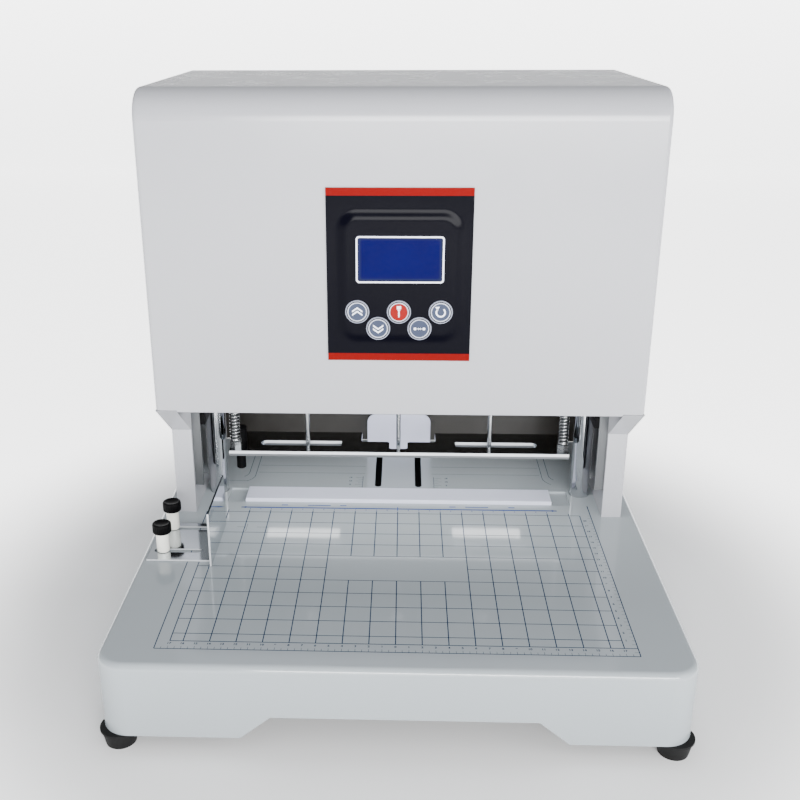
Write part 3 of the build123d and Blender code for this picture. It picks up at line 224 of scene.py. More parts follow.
# white acetal of the thumb screws' collars, turned smooth
collar_plastic = moulded("turned_white_acetal", "#e6e5dd", "#dcdbd2", 0.3, 300, 0.004 * MM)
# white nylon of the cutting mat, milled flat: bright and soft
mat_plastic = moulded("milled_white_nylon", "#bfc3d2", "#b8bccb", 0.36, 500, 0.01 * MM)
# glass-fibre board under green solder mask: an even, half-glossy green
board = moulded("green_circuit_board", "#15512c", "#0f4323", 0.35, 1200, 0.02 * MM)
# the table's print, slate for the grid and blue for the ruler
ink = printed_ink("printed_slate_ink", "#26344c", "#2e3b51")
blue_ink = printed_ink("printed_blue_ink", "#10307e", "#163684")
# white print on the panel's film, a little denser
white_ink = printed_ink("printed_white_ink", "#eef0fb", "#e4e7f6", 0.25, 1.45)


# ---------------------------------------------------------------- finishes of single pieces
RED_BAND = 6.2 * MM
EMBOSS_CENTRE, EMBOSS_HALF = (0.5 * MM, 0.0, 318 * MM), (34 * MM, 1.0, 38 * MM)
EMBOSS_IN, EMBOSS_OUT, EMBOSS_RISE = 7 * MM, 19 * MM, 1.6 * MM


def panel_film():
    """Polyester film, printed on its back in near-black with two red bands and embossed."""
    made, tree, shader = blank("embossed_panel_film")
    low, high = (corner.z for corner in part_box("control_panel"))
    middle = (0.0, 0.0, (low + high) / 2)
    red = {0: outside(tree, middle, (1.0, 1.0, (high - low) / 2 - RED_BAND)), 1: 0.0}
    body = add(
        tree,
        "Mix",
        {0: grain(tree, 18, 3), 6: linear("#030309"), 7: linear("#05050d")},
        **AS_COLOUR,
    )
    # the emboss falls smoothly to the flat film with the distance from a rounded box
    slope = {"From Min": EMBOSS_IN, "From Max": EMBOSS_OUT, "To Min": 1.0, "To Max": 0.0}
    slope["Value"] = outside(tree, EMBOSS_CENTRE, EMBOSS_HALF)
    rim = add(tree, "MapRange", slope, interpolation_type="SMOOTHERSTEP")
    ripple = {"Value": grain(tree, 16, seed=4), "To Min": -0.15, "To Max": 0.15}
    height = add(tree, "Math", {0: rim, 1: add(tree, "MapRange", ripple)}, operation="ADD")
    gloss = {"Value": grain(tree, 40, 3, seed=7), "To Min": 0.1, "To Max": 0.2}
    red_share = add(tree, "Math", red, operation="GREATER_THAN")
    connect(
        shader,
        {
            "Base Color": add(
                tree, "Mix", {0: red_share, 6: body, 7: linear("#6c0504")}, **AS_COLOUR
            ),
            "Roughness": add(tree, "MapRange", gloss),
            "Normal": add(tree, "Bump", {"Height": height, "Distance": EMBOSS_RISE}),
            "IOR": 1.12,
        },
    )
    return made


# printed rings of a button, each from its inner radius outwards
RINGS = ((7.2 * MM, "#b4b8c6"), (8.0 * MM, "#040409"), (8.9 * MM, "#8d91a0"))
DOME_RISE = 0.4 * MM


def button_film(name, x, z, disc):
    """The same film over a dome: printed rings round a coloured disc."""
    made, tree, shader = blank(name)
    radius = outside(tree, (x, 0.0, z), (0.0, 1.0, 0.0))
    colour = linear(disc)
    for edge, ring in RINGS:
        beyond = add(tree, "Math", {0: radius, 1: edge}, operation="GREATER_THAN")
        colour = add(tree, "Mix", {0: beyond, 6: colour, 7: linear(ring)}, **AS_COLOUR)
    dome = add(tree, "MapRange", {"Value": radius, "To Min": 1.0, "To Max": 0.0})
    gloss = {"Value": grain(tree, 60, 3), "To Min": 0.18, "To Max": 0.3}
    connect(
        shader,
        {
            "Base Color": colour,
            "Roughness": add(tree, "MapRange", gloss),
            "Normal": add(tree, "Bump", {"Height": dome, "Distance": DOME_RISE}),
            "IOR": 1.2,
        },
    )
    return made


LIT_HALF = (29.6 * MM, 1.0, 13.8 * MM)
HAZE_IN, HAZE_OUT = 0.8 * MM, 4.2 * MM


def lcd_glass():
    """A lit display behind its glass: blue, with a grey haze along its edges."""
    made, tree, shader = blank("backlit_display_glass")
    low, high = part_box("lcd_module")
    haze = {"From Min": HAZE_IN, "From Max": HAZE_OUT}
    haze["Value"] = outside(tree, (low + high) / 2, LIT_HALF)
    edge = add(tree, "MapRange", haze, interpolation_type="SMOOTHSTEP")
    blue = add(
        tree,
        "Mix",
        {0: grain(tree, 40, 3), 6: linear("#0b0a44"), 7: linear("#0a083a")},
        **AS_COLOUR,
    )
    colour = add(tree, "Mix", {0: edge, 6: blue, 7: linear("#20243c")}, **AS_COLOUR)
    gloss = {"Value": grain(tree, 80, seed=1), "To Min": 0.12, "To Max": 0.2}
    connect(
        shader,
        {
            "Base Color": colour,
            "Emission Color": colour,
            "Emission Strength": 0.1,
            "IOR": 1.07,
            "Roughness": add(tree, "MapRange", gloss),
        },
    )
    return made


BURR = 2.2 * MM  # the lower, darker part of the presser's cut edge


def edged_sheet(name, low_edge):
    """Polished stainless sheet, whose cut edges across Y are ground to a satin, darker below."""
    made, tree, shader = blank(name)
    place = add(tree, "TexCoord", {}, "Object")
    normal = add(tree, "NewGeometry", {}, "Normal")
    height = add(tree, "SeparateXYZ", {0: place}, "Z")
    facing = add(tree, "SeparateXYZ", {0: normal}, "Y")
    face_y = add(tree, "Math", {0: facing}, operation="ABSOLUTE")
    edge = add(tree, "Math", {0: face_y, 1: 0.8}, operation="GREATER_THAN")
    burr_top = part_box("presser_plate")[0].z + BURR
    burred = add(tree, "Math", {0: height, 1: burr_top}, operation="LESS_THAN")
    cloud = add(tree, "MapRange", {"Value": grain(tree, 12, 3), "To Max": 0.3})
    marks = grain(tree, 30, 6, stretch=(1, 40, 40))
    polished = add(tree, "MapRange", {"Value": marks, "To Min": 0.06, "To Max": 0.12})
    satin = add(tree, "MapRange", {"Value": marks, "To Min": 0.45, "To Max": 0.6})
    sheet = add(tree, "Mix", {0: cloud, 6: linear("#c9ced2"), 7: linear("#a9aeb2")}, **AS_COLOUR)
    cut = add(tree, "Mix", {0: burred, 6: linear("#c9ccd0"), 7: linear(low_edge)}, **AS_COLOUR)
    connect(
        shader,
        {
            "Metallic": add(tree, "MapRange", {"Value": edge, "To Min": 1.0, "To Max": 0.4}),
            "Base Color": add(tree, "Mix", {0: edge, 6: sheet, 7: cut}, **AS_COLOUR),
            "Roughness": add(tree, "Mix", {0: edge, 2: polished, 3: satin}),
            "Normal": add(tree, "Bump", {"Height": marks, "Distance": 0.0015 * MM}),
        },
    )
    return made


# painted shade: the near-black colour of the housing's inside and underside
INSIDE_SHADE = "#0c0c0d"
REAR_WALL_Y = 150 * MM  # faces behind this that look forwards are the housing's inside


def housing_coat():
    """The table's glossy coat; painted shade makes the housing's inside and underside near-black,
    so that the table's slots look black.
    """
    made, tree, shader = blank("powder_coated_housing_shaded_inside")
    place = add(tree, "TexCoord", {}, "Object")
    normal = add(tree, "NewGeometry", {}, "Normal")
    y = add(tree, "SeparateXYZ", {0: place}, "Y")
    behind = add(tree, "Math", {0: y, 1: REAR_WALL_Y}, operation="GREATER_THAN")
    face_y = add(tree, "SeparateXYZ", {0: normal}, "Y")
    face_z = add(tree, "SeparateXYZ", {0: normal}, "Z")
    forwards = add(tree, "Math", {0: face_y, 1: -0.5}, operation="LESS_THAN")
    downwards = add(tree, "Math", {0: face_z, 1: -0.5}, operation="LESS_THAN")
    inward = add(tree, "Math", {0: behind, 1: forwards}, operation="MULTIPLY")
    inside = add(tree, "Math", {0: inward, 1: downwards}, operation="MAXIMUM")
    coat = add(
        tree,
        "Mix",
        {0: grain(tree, 7, 3), 6: linear(TABLE_COAT), 7: linear(TABLE_DULL)},
        **AS_COLOUR,
    )
    gloss = {"Value": grain(tree, 30, 4, seed=3), "To Min": 0.064, "To Max": 0.1}
    peel = {"Height": grain(tree, 420, seed=5), "Distance": TABLE_PEEL}
    connect(
        shader,
        {
            "Base Color": add(tree, "Mix", {0: inside, 6: coat, 7: linear(INSIDE_SHADE)}, **AS_COLOUR),
            "Roughness": add(tree, "MapRange", gloss),
            "Normal": add(tree, "Bump", peel),
            "Specular IOR Level": 0.55,
        },
    )
    return made


def rear_cover_coat():
    """The head's coat outside; its inside, the faces that look forwards, is painted shade in
    brown-black.
    """
    made, tree, shader = blank("powder_coated_rear_cover_shaded_inside")
    normal = add(tree, "NewGeometry", {}, "Normal")
    face_y = add(tree, "SeparateXYZ", {0: normal}, "Y")
    inside = add(tree, "Math", {0: face_y, 1: -0.5}, operation="LESS_THAN")
    outer = add(
        tree, "Mix", {0: grain(tree, 7, 3), 6: linear(COAT), 7: linear(COAT_DULL)}, **AS_COLOUR
    )
    # painted shade: the unlit inside of the cover, coloured brown-black
    inner = add(
        tree,
        "Mix",
        {0: grain(tree, 9, 3), 6: linear("#201d1a"), 7: linear("#1b1916")},
        **AS_COLOUR,
    )
    gloss = {"Value": grain(tree, 30, 4), "To Min": 0.2, "To Max": 0.3}
    connect(
        shader,
        {
            "Base Color": add(tree, "Mix", {0: inside, 6: outer, 7: inner}, **AS_COLOUR),
            "Roughness": add(tree, "MapRange", gloss),
            "Normal": add(tree, "Bump", {"Height": grain(tree, 420), "Distance": 0.02 * MM}),
        },
    )
    return made


# ---------------------------------------------------------------- finishes of the CAD nodes
BUTTONS = ("up", "down", "punch", "reset", "select")
RED_DISC, GREY_DISC = "#7c0704", "#363d50"
DRILL_PARTS = ("left", "centre", "right")


def middle_of(node):
    """The middle of a node's box."""
    low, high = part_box(node)
    return (low + high) / 2


def finish_nodes():
    """Gives each CAD node its one finish."""
    finishes = {
        paint: ("side_panel_left", "side_panel_right", "head_cover"),
        table_paint: ("mat_tray",),
        housing_coat(): ("base_housing",),
        rear_cover_coat(): ("rear_cover",),
        white_paint: ("backstop",),
        zinc: ("top_plate", "carriage_plate"),
        # painted shade: the studs are darkened so that the gaps between the spring's curls look
        # dark
        dark_zinc_and_stud_shade: ("slide_rails", "presser_studs"),
        # painted shade: gussets and chassis plate are near-black
        black_shade_plate: ("corner_gussets", "chassis_plate"),
        screw: (
            "foot_bolts",
            "rail_screws",
            "cover_screws",
            "post_nuts",
            "stud_nuts",
            "backstop_clamp",
        ),
        chrome: ("guide_posts", "pitch_rods"),
        edged_sheet("polished_presser_plate", "#55585b"): ("presser_plate",),
        edged_sheet("polished_side_gauge", "#bfc3c7"): ("side_gauge",),
        ground: (
            "lift_screw",
            "pitch_screw",
            "linear_bushes",
            "slide_runners",
            *["spindle_" + part for part in DRILL_PARTS],
        ),
        milled: ("rod_blocks", "slide_block_left", "slide_block_right"),
        bronze: ("lift_nut",),
        motor_paint: (
            "lift_motor",
            "pitch_motor",
            *["drill_motor_" + part for part in DRILL_PARTS],
        ),
        rubber: ("rubber_feet",),
        black_plastic: ("runner_stops", "feeler_sleeve", "feeler", "rocker", "power_inlet"),
        mat_plastic: ("cutting_mat",),
        board: ("panel_board", "control_board"),
        supply: ("power_supply",),
        panel_film(): ("control_panel",),
        lcd_glass(): ("lcd_module",),
    }
    for name in BUTTONS:
        centre = middle_of("button_" + name)
        disc = RED_DISC if name == "punch" else GREY_DISC
        film = button_film("domed_film_" + name, centre.x, centre.z, disc)
        finishes[film] = ("button_" + name,)
    for finish, names in finishes.items():
        for name in names:
            nodes[name].data.materials.clear()
            nodes[name].data.materials.append(finish)


# ---------------------------------------------------------------- piece builders
def piece(name, points, faces, finish, body, smooth=False):
    """A mesh in the row frame that rides on a body."""
    mesh = bpy.data.meshes.new(name)
    mesh.from_pydata(np.asarray(points).tolist(), [], faces)
    mesh.polygons.foreach_set("use_smooth", [smooth] * len(mesh.polygons))
    mesh.materials.append(finish)
    mesh.update()
    made = bpy.data.objects.new(name, mesh)
    bpy.context.scene.collection.objects.link(made)
    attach(made, body)
    return made


def skin(name, rings, finish, body):
    """A closed skin over rings of points, counter-clockwise round their way, with flat ends.

    Quad k of ring r joins points k and k + 1 of that ring to those of the next.
    """
    rows, sides = rings.shape[:2]
    here = np.arange(rows - 1)[:, None] * sides + np.arange(sides)
    beside = np.arange(rows - 1)[:, None] * sides + np.roll(np.arange(sides), -1)
    quads = np.stack((here, beside, beside + sides, here + sides), axis=-1).reshape(-1, 4)
    first, last = np.arange(sides)[::-1], np.arange(sides) + (rows - 1) * sides
    faces = [*quads.tolist(), first.tolist(), last.tolist()]
    return piece(name, rings.reshape(-1, 3), faces, finish, body, smooth=True)


def lathe(name, foot, profile, finish, body, sides=64, ribs=0, rib_depth=0.0, rib_rows=()):
    """A turned piece on a foot point, from profile points of radius and height in mm.

    In the ribbed rows the radius loses rib_depth times half of one minus the cosine of ribs
    times the angle.
    """
    angle = np.linspace(0, 2 * np.pi, sides, endpoint=False)
    radius, height = np.array(profile).T[:, :, None] * MM
    ribbed = np.isin(np.arange(len(profile)), rib_rows)[:, None]
    radius = radius - ribbed * rib_depth * (0.5 - 0.5 * np.cos(ribs * angle))
    rings = np.broadcast_arrays(
        foot[0] + radius * np.cos(angle), foot[1] + radius * np.sin(angle), foot[2] + height
    )
    return skin(name, np.stack(rings, axis=-1), finish, body)


def tube(name, line, radius, sides, finish, body):
    """A round wire: at each point of the line a ring, cosine along a level way square to the
    line and sine along the way square to both."""
    way = np.gradient(line, axis=0)
    way /= np.linalg.norm(way, axis=1)[:, None]
    level = np.cross(way, (0.0, 0.0, 1.0))
    level /= np.linalg.norm(level, axis=1)[:, None]
    rise = np.cross(way, level)
    angle = np.linspace(0, 2 * np.pi, sides, endpoint=False)[None, :, None]
    circle = np.cos(angle) * level[:, None] + np.sin(angle) * rise[:, None]
    return skin(name, line[:, None] + radius * circle, finish, body)


# ---------------------------------------------------------------- presser springs
WIRE_R, COIL_R, CURLS, CURL_STEPS, WIRE_SIDES = 0.55 * MM, 4.6 * MM, 36, 20, 10
CLOSED_CURLS, CLOSED_RISE = 1.6, 0.012  # the end curls lie closed, so they rise very little


def fine_spring(side):
    """A coil whose height over its turn rises slowly in the closed ends and evenly between."""
    node = "presser_spring_" + side
    low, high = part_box(node)
    centre = (low + high) / 2
    share = np.linspace(0, 1, CURLS * CURL_STEPS + 1)
    closed = CLOSED_CURLS / CURLS
    rise = np.interp(share, (0, closed, 1 - closed, 1), (0, CLOSED_RISE, 1 - CLOSED_RISE, 1))
    turn = 2 * np.pi * CURLS * share
    span = high.z - low.z - 2 * WIRE_R
    line = np.stack(
        (
            centre.x + COIL_R * np.cos(turn),
            centre.y + COIL_R * np.sin(turn),
            low.z + WIRE_R + span * rise,
        ),
        axis=1,
    )
    spring = tube("fine_" + node, line, WIRE_R, WIRE_SIDES, spring_wire, "carriage")
    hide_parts(node)
    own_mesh(spring)


# ---------------------------------------------------------------- thumb screws
CAP_H, COLLAR_TOP_DOWN = 9 * MM, 26.9 * MM
# profiles as radius and height in mm
COLLAR = ((4.9, 0), (5.45, 0.15), (5.65, 0.6), (5.65, 17.2), (5.4, 17.8), (4.5, 17.9))
CAP_SIDE = ((6.2, 0), (7.3, 0.1), (7.95, 0.5), (8.15, 1.2), (8.15, 7.6), (7.95, 8.4))
CAP_TOP = ((7.4, 8.85), (6.6, 9.0), (5.9, 8.85), (5.2, 8.35), (1.0, 8.2))
CAP_RIBS = {"sides": 180, "ribs": 30, "rib_depth": 0.35 * MM, "rib_rows": (2, 3, 4, 5)}
SHANK_R, SHANK_TIP_R, SHANK_EDGE = 2.5, 2.1, 0.5


def thumb_screw(place):
    """A steel shank under a white collar with a black knurled cap."""
    node = "thumb_screw_" + place
    low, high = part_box(node)
    x, y = (low.x + high.x) / 2, (low.y + high.y) / 2
    foot_z = high.z - COLLAR_TOP_DOWN
    shank_profile = ((SHANK_TIP_R, 0), (SHANK_R, SHANK_EDGE), (SHANK_R, (foot_z - low.z) / MM))
    collar = lathe("collar_" + place, (x, y, foot_z), COLLAR, collar_plastic, node)
    cap_foot = (x, y, high.z - CAP_H)
    cap = lathe("cap_" + place, cap_foot, CAP_SIDE + CAP_TOP, black_plastic, node, **CAP_RIBS)
    shank = lathe("shank_" + place, (x, y, low.z), shank_profile, screw, node, sides=32)
    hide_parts(node)


# ---------------------------------------------------------------- print
def turned(outline):
    """An outline in its plane, put counter-clockwise by the sign of the area it encloses."""
    outline = np.asarray(outline, dtype=float)
    x, y = outline.T
    return outline if x @ np.roll(y, -1) > y @ np.roll(x, -1) else outline[::-1]


def bar(x0, x1, y0, y1):
    """The outline of a rectangle between two limits along each axis."""
    return ((x0, y0), (x1, y0), (x1, y1), (x0, y1))


def printed(name, outlines, place, finish, body="frame"):
    """Flat ink in one mesh: each outline in mm is a face, and place puts its points in space."""
    outlines = [turned(outline) for outline in outlines]
    starts = np.cumsum([0, *map(len, outlines)])
    faces = [range(first, last) for first, last in zip(starts, starts[1:])]
    return piece(name, place(np.concatenate(outlines) * MM), faces, finish, body)


PRINT_RISE = 0.03 * MM
PRINT_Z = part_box("base_housing")[1].z + PRINT_RISE


def on_table(points):
    """Plane points as X and Y on the table."""
    return np.column_stack((points, np.full(len(points), PRINT_Z)))


def on_front(y):
    """A function that puts plane points as X and Z on an upright face at y."""
    return lambda points: np.column_stack((points[:, 0], np.full(len(points), y), points[:, 1]))


# ---------------------------------------------------------------- printed table, in mm
LINE, THIN_LINE, FAINT_LINE, TICK_LINE = 0.8, 0.7, 0.4, 0.3
SQUARE = 20
OUTER_X, OUTER_Y, INNER_X, INNER_Y = 180, -188, 170, -178  # the ruled strip at front and right
GRID_REAR_Y, LEFT_REAR_Y, RIGHT_REAR_Y = 36, 32, 52
BLOCK_X, BLOCK_Y = 60, (-88, -48)  # left bare in the grid's middle
RULER_Y, RULER_ENDS = 41.3, (-149, 150)
SCALE_X, SCALE_Y = 35.5, (84, 112)
GUIDE_IN_X, GUIDE_OUT_X, GUIDE_REAR_Y, GUIDE_ROWS = 145, 152, 164, (119, 136)
GUIDE_IN_BEND = [(145, 112), (145.4, 108), (146.8, 104.4), (149, 101.2), (152, 98)]
GUIDE_OUT_BEND = [(152, 118), (152.5, 114.4), (153.8, 111.4), (156, 108.6)]


def across(y, x0, x1, wide=LINE):
    """A printed line along X."""
    return bar(x0, x1, y - wide / 2, y + wide / 2)


def along(x, y0, y1, wide=LINE):
    """A printed line along Y."""
    return bar(x - wide / 2, x + wide / 2, y0, y1)


def both_sides(x0, x1):
    """A span of X on the right and its mirror image on the left."""
    return (x0, x1), (-x1, -x0)


def grid_lines():
    """The ruled strip's two edges and the squares, broken round the bare block."""
    lines = [across(OUTER_Y, -OUTER_X, OUTER_X), across(INNER_Y, -INNER_X, OUTER_X)]
    lines += [along(-OUTER_X, OUTER_Y, LEFT_REAR_Y), along(OUTER_X, OUTER_Y, RIGHT_REAR_Y)]
    lines += [along(x, INNER_Y, LEFT_REAR_Y) for x in (-INNER_X, INNER_X)]
    for x in range(-160, 161, SQUARE):
        if abs(x) < BLOCK_X:
            lines += [along(x, INNER_Y, BLOCK_Y[0]), along(x, BLOCK_Y[1], GRID_REAR_Y)]
        else:
            lines.append(along(x, INNER_Y, GRID_REAR_Y))
    for y in range(-168, 33, SQUARE):
        spans = [(-INNER_X, INNER_X)]
        if BLOCK_Y[0] < y < BLOCK_Y[1]:
            spans = both_sides(BLOCK_X, INNER_X)
        lines += [across(y, *span, THIN_LINE) for span in spans]
    return lines


def tick_marks():
    """Ticks every 5 mm along the front and the right, longer at each 10 mm."""
    front = [
        along(5 * k, OUTER_Y, OUTER_Y + (2.8 if k % 2 else 3.4), TICK_LINE) for k in range(-35, 36)
    ]
    right = [
        across(5 * k - 183, OUTER_X - (2.6 if k % 2 else 3.4), OUTER_X, TICK_LINE)
        for k in range(44)
    ]
    return front + right


def scale_marks():
    """The scales beside the backstop, and the short marks near the gauge."""
    lines = []
    for side in (-1, 1):
        lines.append(along(side * SCALE_X, *SCALE_Y, FAINT_LINE))
        for k in range(7):
            ends = sorted((side * SCALE_X, side * (40 if k % 2 else 43)))
            lines.append(across(85 + 4 * k, *ends, TICK_LINE))
    lines += [across(2, -147, -139, FAINT_LINE), across(2, -129, -118, FAINT_LINE)]
    return [*lines, along(-138, -6, 8, TICK_LINE)]


def guide_lines():
    """Straight paper guides behind the mat."""
    lines = [across(99, -172, -151, FAINT_LINE)]
    for y in GUIDE_ROWS:
        lines += [across(y, *span, FAINT_LINE) for span in both_sides(34, 143)]
    for side in (-1, 1):
        lines.append(along(side * GUIDE_IN_X, GUIDE_IN_BEND[0][1], GUIDE_REAR_Y, 0.5))
        lines.append(along(side * GUIDE_OUT_X, GUIDE_OUT_BEND[0][1], GUIDE_REAR_Y, 0.5))
    return lines


def bent_line(turns, wide):
    """Quads along a line of points, each point moved half the width square to the line."""
    line = np.asarray(turns, dtype=float)
    way = np.gradient(line, axis=0)
    way /= np.linalg.norm(way, axis=1)[:, None]
    aside = np.stack((-way[:, 1], way[:, 0]), axis=1) * wide / 2
    left, right = line + aside, line - aside
    return list(np.stack((left[:-1], right[:-1], right[1:], left[1:]), axis=1))


def bent_guides():
    """The guides' front ends, which bend outwards."""
    outlines = []
    for side in (-1, 1):
        for turns in (GUIDE_IN_BEND, GUIDE_OUT_BEND):
            outlines += bent_line([(side * x, y) for x, y in turns], 0.5)
    return outlines


def ruler_lines():
    """The blue ruler with its ticks, and short bars where the wording stands."""
    lines = [across(RULER_Y, *RULER_ENDS, 1.7), along(0, RULER_Y - 4, RULER_Y + 4, 0.6)]
    lines += [along(10 * k, RULER_Y - 4, RULER_Y - 2.2, 0.6) for k in range(-14, 15) if k]
    for x, long in ((52, 6), (75, 22), (108, 6)):
        for middle in (-x, x):
            lines.append(across(RULER_Y + 5.5, middle - long / 2, middle + long / 2, 1.3))
    return lines


def arrow_tips():
    """Triangles at the ruler's ends."""
    tips = []
    for tip_x, side in ((RULER_ENDS[0] - 0.4, -1), (RULER_ENDS[1] + 0.3, 1)):
        foot_x = tip_x - side * 5
        tips.append([(tip_x, RULER_Y), (foot_x, RULER_Y - 1.6), (foot_x, RULER_Y + 1.6)])
    return tips


def numbers(name, labels, size):
    """Plain printed numbers lying on the table, each given as text, X and Y in mm."""
    points, faces, count = [], [], 0
    for text, x, y in labels:
        letters = bpy.data.curves.new("number", "FONT")
        letters.body, letters.size, letters.offset = text, size * MM, 0.1 * MM
        letters.align_x, letters.align_y = "CENTER", "CENTER"
        holder = bpy.data.objects.new("number", letters)
        flat = bpy.data.meshes.new_from_object(holder)
        corners = np.empty(3 * len(flat.vertices))
        flat.vertices.foreach_get("co", corners)
        points.append(on_table(corners.reshape(-1, 3)[:, :2] + (x * MM, y * MM)))
        faces += [(np.array(face.vertices) + count).tolist() for face in flat.polygons]
        count += len(flat.vertices)
        bpy.data.objects.remove(holder)
        bpy.data.meshes.remove(flat)
        bpy.data.curves.remove(letters)
    return piece(name, np.concatenate(points), faces, ink, "frame")


def print_table():
    """All ink on the table, just above its coat."""
    grid = grid_lines() + tick_marks() + scale_marks() + guide_lines()
    front = [(str(abs(k)), 10 * k, INNER_Y - 3.2) for k in range(-17, 18)]
    right = [(str(k), INNER_X + 3.2, INNER_Y + 10 * k) for k in range(1, 21)]
    scales = [(str(5 * k), side * 48, 85 + 8 * k) for side in (-1, 1) for k in range(4)]
    for made in (
        printed("printed_grid", grid, on_table, ink),
        printed("printed_ruler", ruler_lines(), on_table, blue_ink),
        printed("printed_arrow_tips", arrow_tips(), on_table, blue_ink),
        printed("printed_guides", bent_guides(), on_table, ink),
        numbers("ruler_numbers", front + right, 3.2),
        numbers("scale_numbers", scales, 3.2),
    ):
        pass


# ---------------------------------------------------------------- panel artwork, in mm
def rounded(centre, wide, high, radius, steps=8):
    """A rounded rectangle: a quarter circle round each corner's own centre."""
    turn = np.linspace(0, np.pi / 2, steps + 1)
    outline = []
    for k, corner in enumerate(((1, 1), (-1, 1), (-1, -1), (1, -1))):
        angle = turn + k * np.pi / 2
        reach = np.array(corner) * (wide / 2 - radius, high / 2 - radius)
        circle = np.stack((np.cos(angle), np.sin(angle)), axis=1)
        outline.append(np.array(centre) + reach + radius * circle)
    return np.concatenate(outline)


def arc(inner, outer, start, end, steps=24):
    """Quads along part of a ring round 0, between two radii and two angles in degrees."""
    angle = np.radians(np.linspace(start, end, steps + 1))
    circle = np.stack((np.cos(angle), np.sin(angle)), axis=1)
    near, far = inner * circle, outer * circle
    return list(np.stack((near[:-1], far[:-1], far[1:], near[1:]), axis=1))


def chevron(height, way):
    """A printed V round a height, its point upwards for 1 and downwards for -1."""
    half, rise, thick = 4.2, 1.5 * way, 1.5 * way
    low, high = height - rise, height + rise
    upper = [(-half, low), (0, high), (half, low)]
    return upper + [(half, low - thick), (0, high - thick), (-half, low - thick)]


def dumbbell():
    """Two dots joined by a double arrow, for the spacing of the holes."""
    shapes = [rounded((side * 3.6, 0), 2.4, 2.4, 1.19) for side in (-1, 1)]
    shapes.append(bar(-1.6, 1.6, -0.4, 0.4))
    return shapes + [[(s * 1.9, 0), (s * 0.7, 1.1), (s * 0.7, -1.1)] for s in (-1, 1)]


# symbols round each button's middle
DRILL_SYMBOL = (
    bar(-1.7, 1.7, 2.6, 5.2),
    ((-1.2, 2.3), (1.2, 2.3), (0.8, 1.2), (-0.8, 1.2)),
    ((-0.6, 1.2), (0.6, 1.2), (0.6, -3.4), (0, -4.6), (-0.6, -3.4)),
)
RESET_TIP = [(-4.6, 4.6), (-0.9, 4.9), (-2.6, 1.5)]
SYMBOLS = {
    "up": [chevron(2.6, 1), chevron(-0.3, 1)],
    "down": [chevron(0.3, -1), chevron(-2.6, -1)],
    "punch": DRILL_SYMBOL,
    "reset": [*arc(2.9, 4.2, 130, 410), RESET_TIP],
    "select": dumbbell(),
}
INK_PROUD = 0.05 * MM


def display_frame():
    """The white line round the display: quads between two rounded rectangles."""
    middle = middle_of("lcd_module") / MM
    outer = rounded((middle.x, middle.z), 70.8, 38.2, 2.6)
    inner = rounded((middle.x, middle.z), 68.2, 35.6, 1.6)
    ring = (outer, np.roll(outer, -1, axis=0), np.roll(inner, -1, axis=0), inner)
    place = on_front(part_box("control_panel")[0].y - INK_PROUD)
    made = printed("display_frame_line", list(np.stack(ring, axis=1)), place, white_ink)


def button_symbol(name):
    """A button's white symbol, which moves with it."""
    node = "button_" + name
    middle = middle_of(node) / MM
    outlines = [np.array(outline) + (middle.x, middle.z) for outline in SYMBOLS[name]]
    place = on_front(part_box(node)[0].y - INK_PROUD)
    made = printed("icon_" + name, outlines, place, white_ink, node)


# ---------------------------------------------------------------- studio
PAPER_REACH, PAPER_REAR, PAPER_BEND, PAPER_STEPS = 7.0, 2.6, 0.6, 16
GLOW_FROM, GLOW_TO, GLOW = 0.3, 0.55, 3.0
SURROUND = 0.75
# name: place, aim, size, watts; the last four stand under the head
LAMPS = {
    "front": ((0.4, -2.0, 0.55), (0, 0.1, 0.15), (1.6, 0.6), 82),
    "key": ((-0.9, -1.5, 2.0), (0, 0, 0.2), (1.6, 1.6), 6),
    "fill": ((1.8, -1.2, 1.2), (0, 0, 0.25), (1.4, 1.4), 16),
    "throat": ((0, -0.01, 0.19), (0, 0.14, 0.06), (0.32, 0.03), 0.45),
    "under": ((0, 0.09, 0.122), (0, 0.16, 0.0765), (0.3, 0.012), 0.09),
    "gleam_left": ((-0.095, 0.0855, 0.1276), (-0.095, 0.0856, 0), (0.073, 0.019), 0.035),
    "gleam_right": ((0.089, 0.0905, 0.1276), (0.089, 0.0906, 0), (0.068, 0.019), 0.033),
}
UNMIRRORED = ("throat", "under")  # light the pieces but aren't mirrored in them
MIRRORED_ONLY = ("gleam_left", "gleam_right")  # the two soft bright patches on the table


def glowing_paper():
    """White paper that glows more with the distance from the machine."""
    made, tree, shader = blank("studio_paper")
    away = add(tree, "VectorMath", {0: add(tree, "TexCoord", {}, "Object")}, 1, operation="LENGTH")
    glow = {"Value": away, "From Min": GLOW_FROM, "From Max": GLOW_TO, "To Max": GLOW}
    gloss = {"Value": grain(tree, 5, seed=1), "To Min": 0.85, "To Max": 0.95}
    connect(
        shader,
        {
            "Base Color": add(
                tree,
                "Mix",
                {0: grain(tree, 3), 6: linear("#fafafa"), 7: linear("#f8f8f8")},
                **AS_COLOUR,
            ),
            "Roughness": add(tree, "MapRange", gloss),
            "Emission Color": (1.0, 1.0, 1.0, 1.0),
            "Emission Strength": add(tree, "MapRange", glow, interpolation_type="SMOOTHSTEP"),
        },
    )
    return made


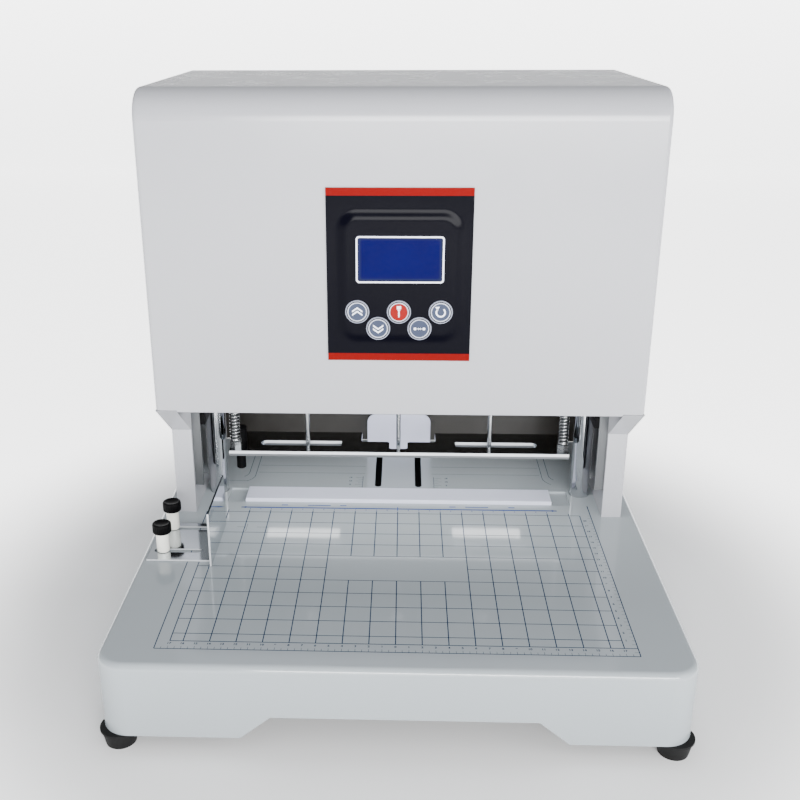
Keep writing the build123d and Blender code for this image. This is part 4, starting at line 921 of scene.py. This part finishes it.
def floor():
    """Paper that lies flat and turns up behind the machine: y = rear + bend sin, z = bend
    (1 - cos) over a quarter turn."""
    turn = np.linspace(0, np.pi / 2, PAPER_STEPS + 1)
    y = np.concatenate(([-PAPER_REACH], PAPER_REAR + PAPER_BEND * np.sin(turn)))
    z = np.concatenate(([0.0], PAPER_BEND * (1 - np.cos(turn))))
    edges = (-PAPER_REACH, PAPER_REACH)
    left, right = (np.column_stack((np.full(len(y), x), y, z)) for x in edges)
    points = np.stack((left, right), axis=1).reshape(-1, 3)
    first = 2 * np.arange(len(y) - 1)
    faces = np.column_stack((first, first + 1, first + 3, first + 2)).tolist()
    mesh = bpy.data.meshes.new("floor")
    mesh.from_pydata(points.tolist(), [], faces)
    mesh.polygons.foreach_set("use_smooth", [True] * len(faces))
    mesh.materials.append(glowing_paper())
    made = bpy.data.objects.new("floor", mesh)
    bpy.context.scene.collection.objects.link(made)


def surround():
    """A pale, even world."""
    world = bpy.data.worlds.new("studio_world")
    world.use_nodes = True
    back = world.node_tree.nodes["Background"]
    back.inputs["Color"].default_value = linear("#f6f8fb")
    back.inputs["Strength"].default_value = SURROUND
    bpy.context.scene.world = world


def soft_box(name, place, aim, size, power):
    """A rectangular lamp turned towards its aim."""
    lamp = bpy.data.lights.new(name, "AREA")
    lamp.shape, lamp.size, lamp.size_y, lamp.energy = "RECTANGLE", *size, power
    made = bpy.data.objects.new(name, lamp)
    made.location = place
    made.rotation_mode = "QUATERNION"
    made.rotation_quaternion = (Vector(aim) - Vector(place)).to_track_quat("-Z", "Y")
    made.visible_glossy = name not in UNMIRRORED
    made.visible_diffuse = name not in MIRRORED_ONLY
    bpy.context.scene.collection.objects.link(made)


# the camera, found from the crossings of the table's printed grid
CAMERA = Vector((3.6, -823.8, 523.9)) * MM
FORWARD = Vector((-0.03364, 0.93356, -0.35683))
UP = Vector((-0.00907, 0.35673, 0.93416))
PICTURE, FOCAL_PX, MIDDLE_X, MIDDLE_Y = 800, 1019.6, 368.27, 393.81
SENSOR_MM = 36


def photo_camera():
    """A camera at the photograph's place, turned and shifted as it was."""
    lens = bpy.data.cameras.new("camera")
    lens.sensor_width = SENSOR_MM
    lens.lens = FOCAL_PX / PICTURE * SENSOR_MM
    lens.shift_x = (PICTURE / 2 - MIDDLE_X) / PICTURE
    lens.shift_y = (MIDDLE_Y - PICTURE / 2) / PICTURE
    camera = bpy.data.objects.new("camera", lens)
    back = -FORWARD.normalized()
    right = UP.cross(back).normalized()
    turn = Matrix((right, back.cross(right), back)).transposed().to_4x4()
    camera.matrix_world = Matrix.Translation(CAMERA) @ turn
    bpy.context.scene.collection.objects.link(camera)
    bpy.context.scene.camera = camera


# ---------------------------------------------------------------- the whole picture
finish_nodes()
for side in ("left", "right"):
    fine_spring(side)
for place in ("front", "rear"):
    thumb_screw(place)
print_table()
display_frame()
for name in BUTTONS:
    button_symbol(name)
floor()
surround()
for name, (place, aim, size, power) in LAMPS.items():
    soft_box(name, place, aim, size, power)
photo_camera()
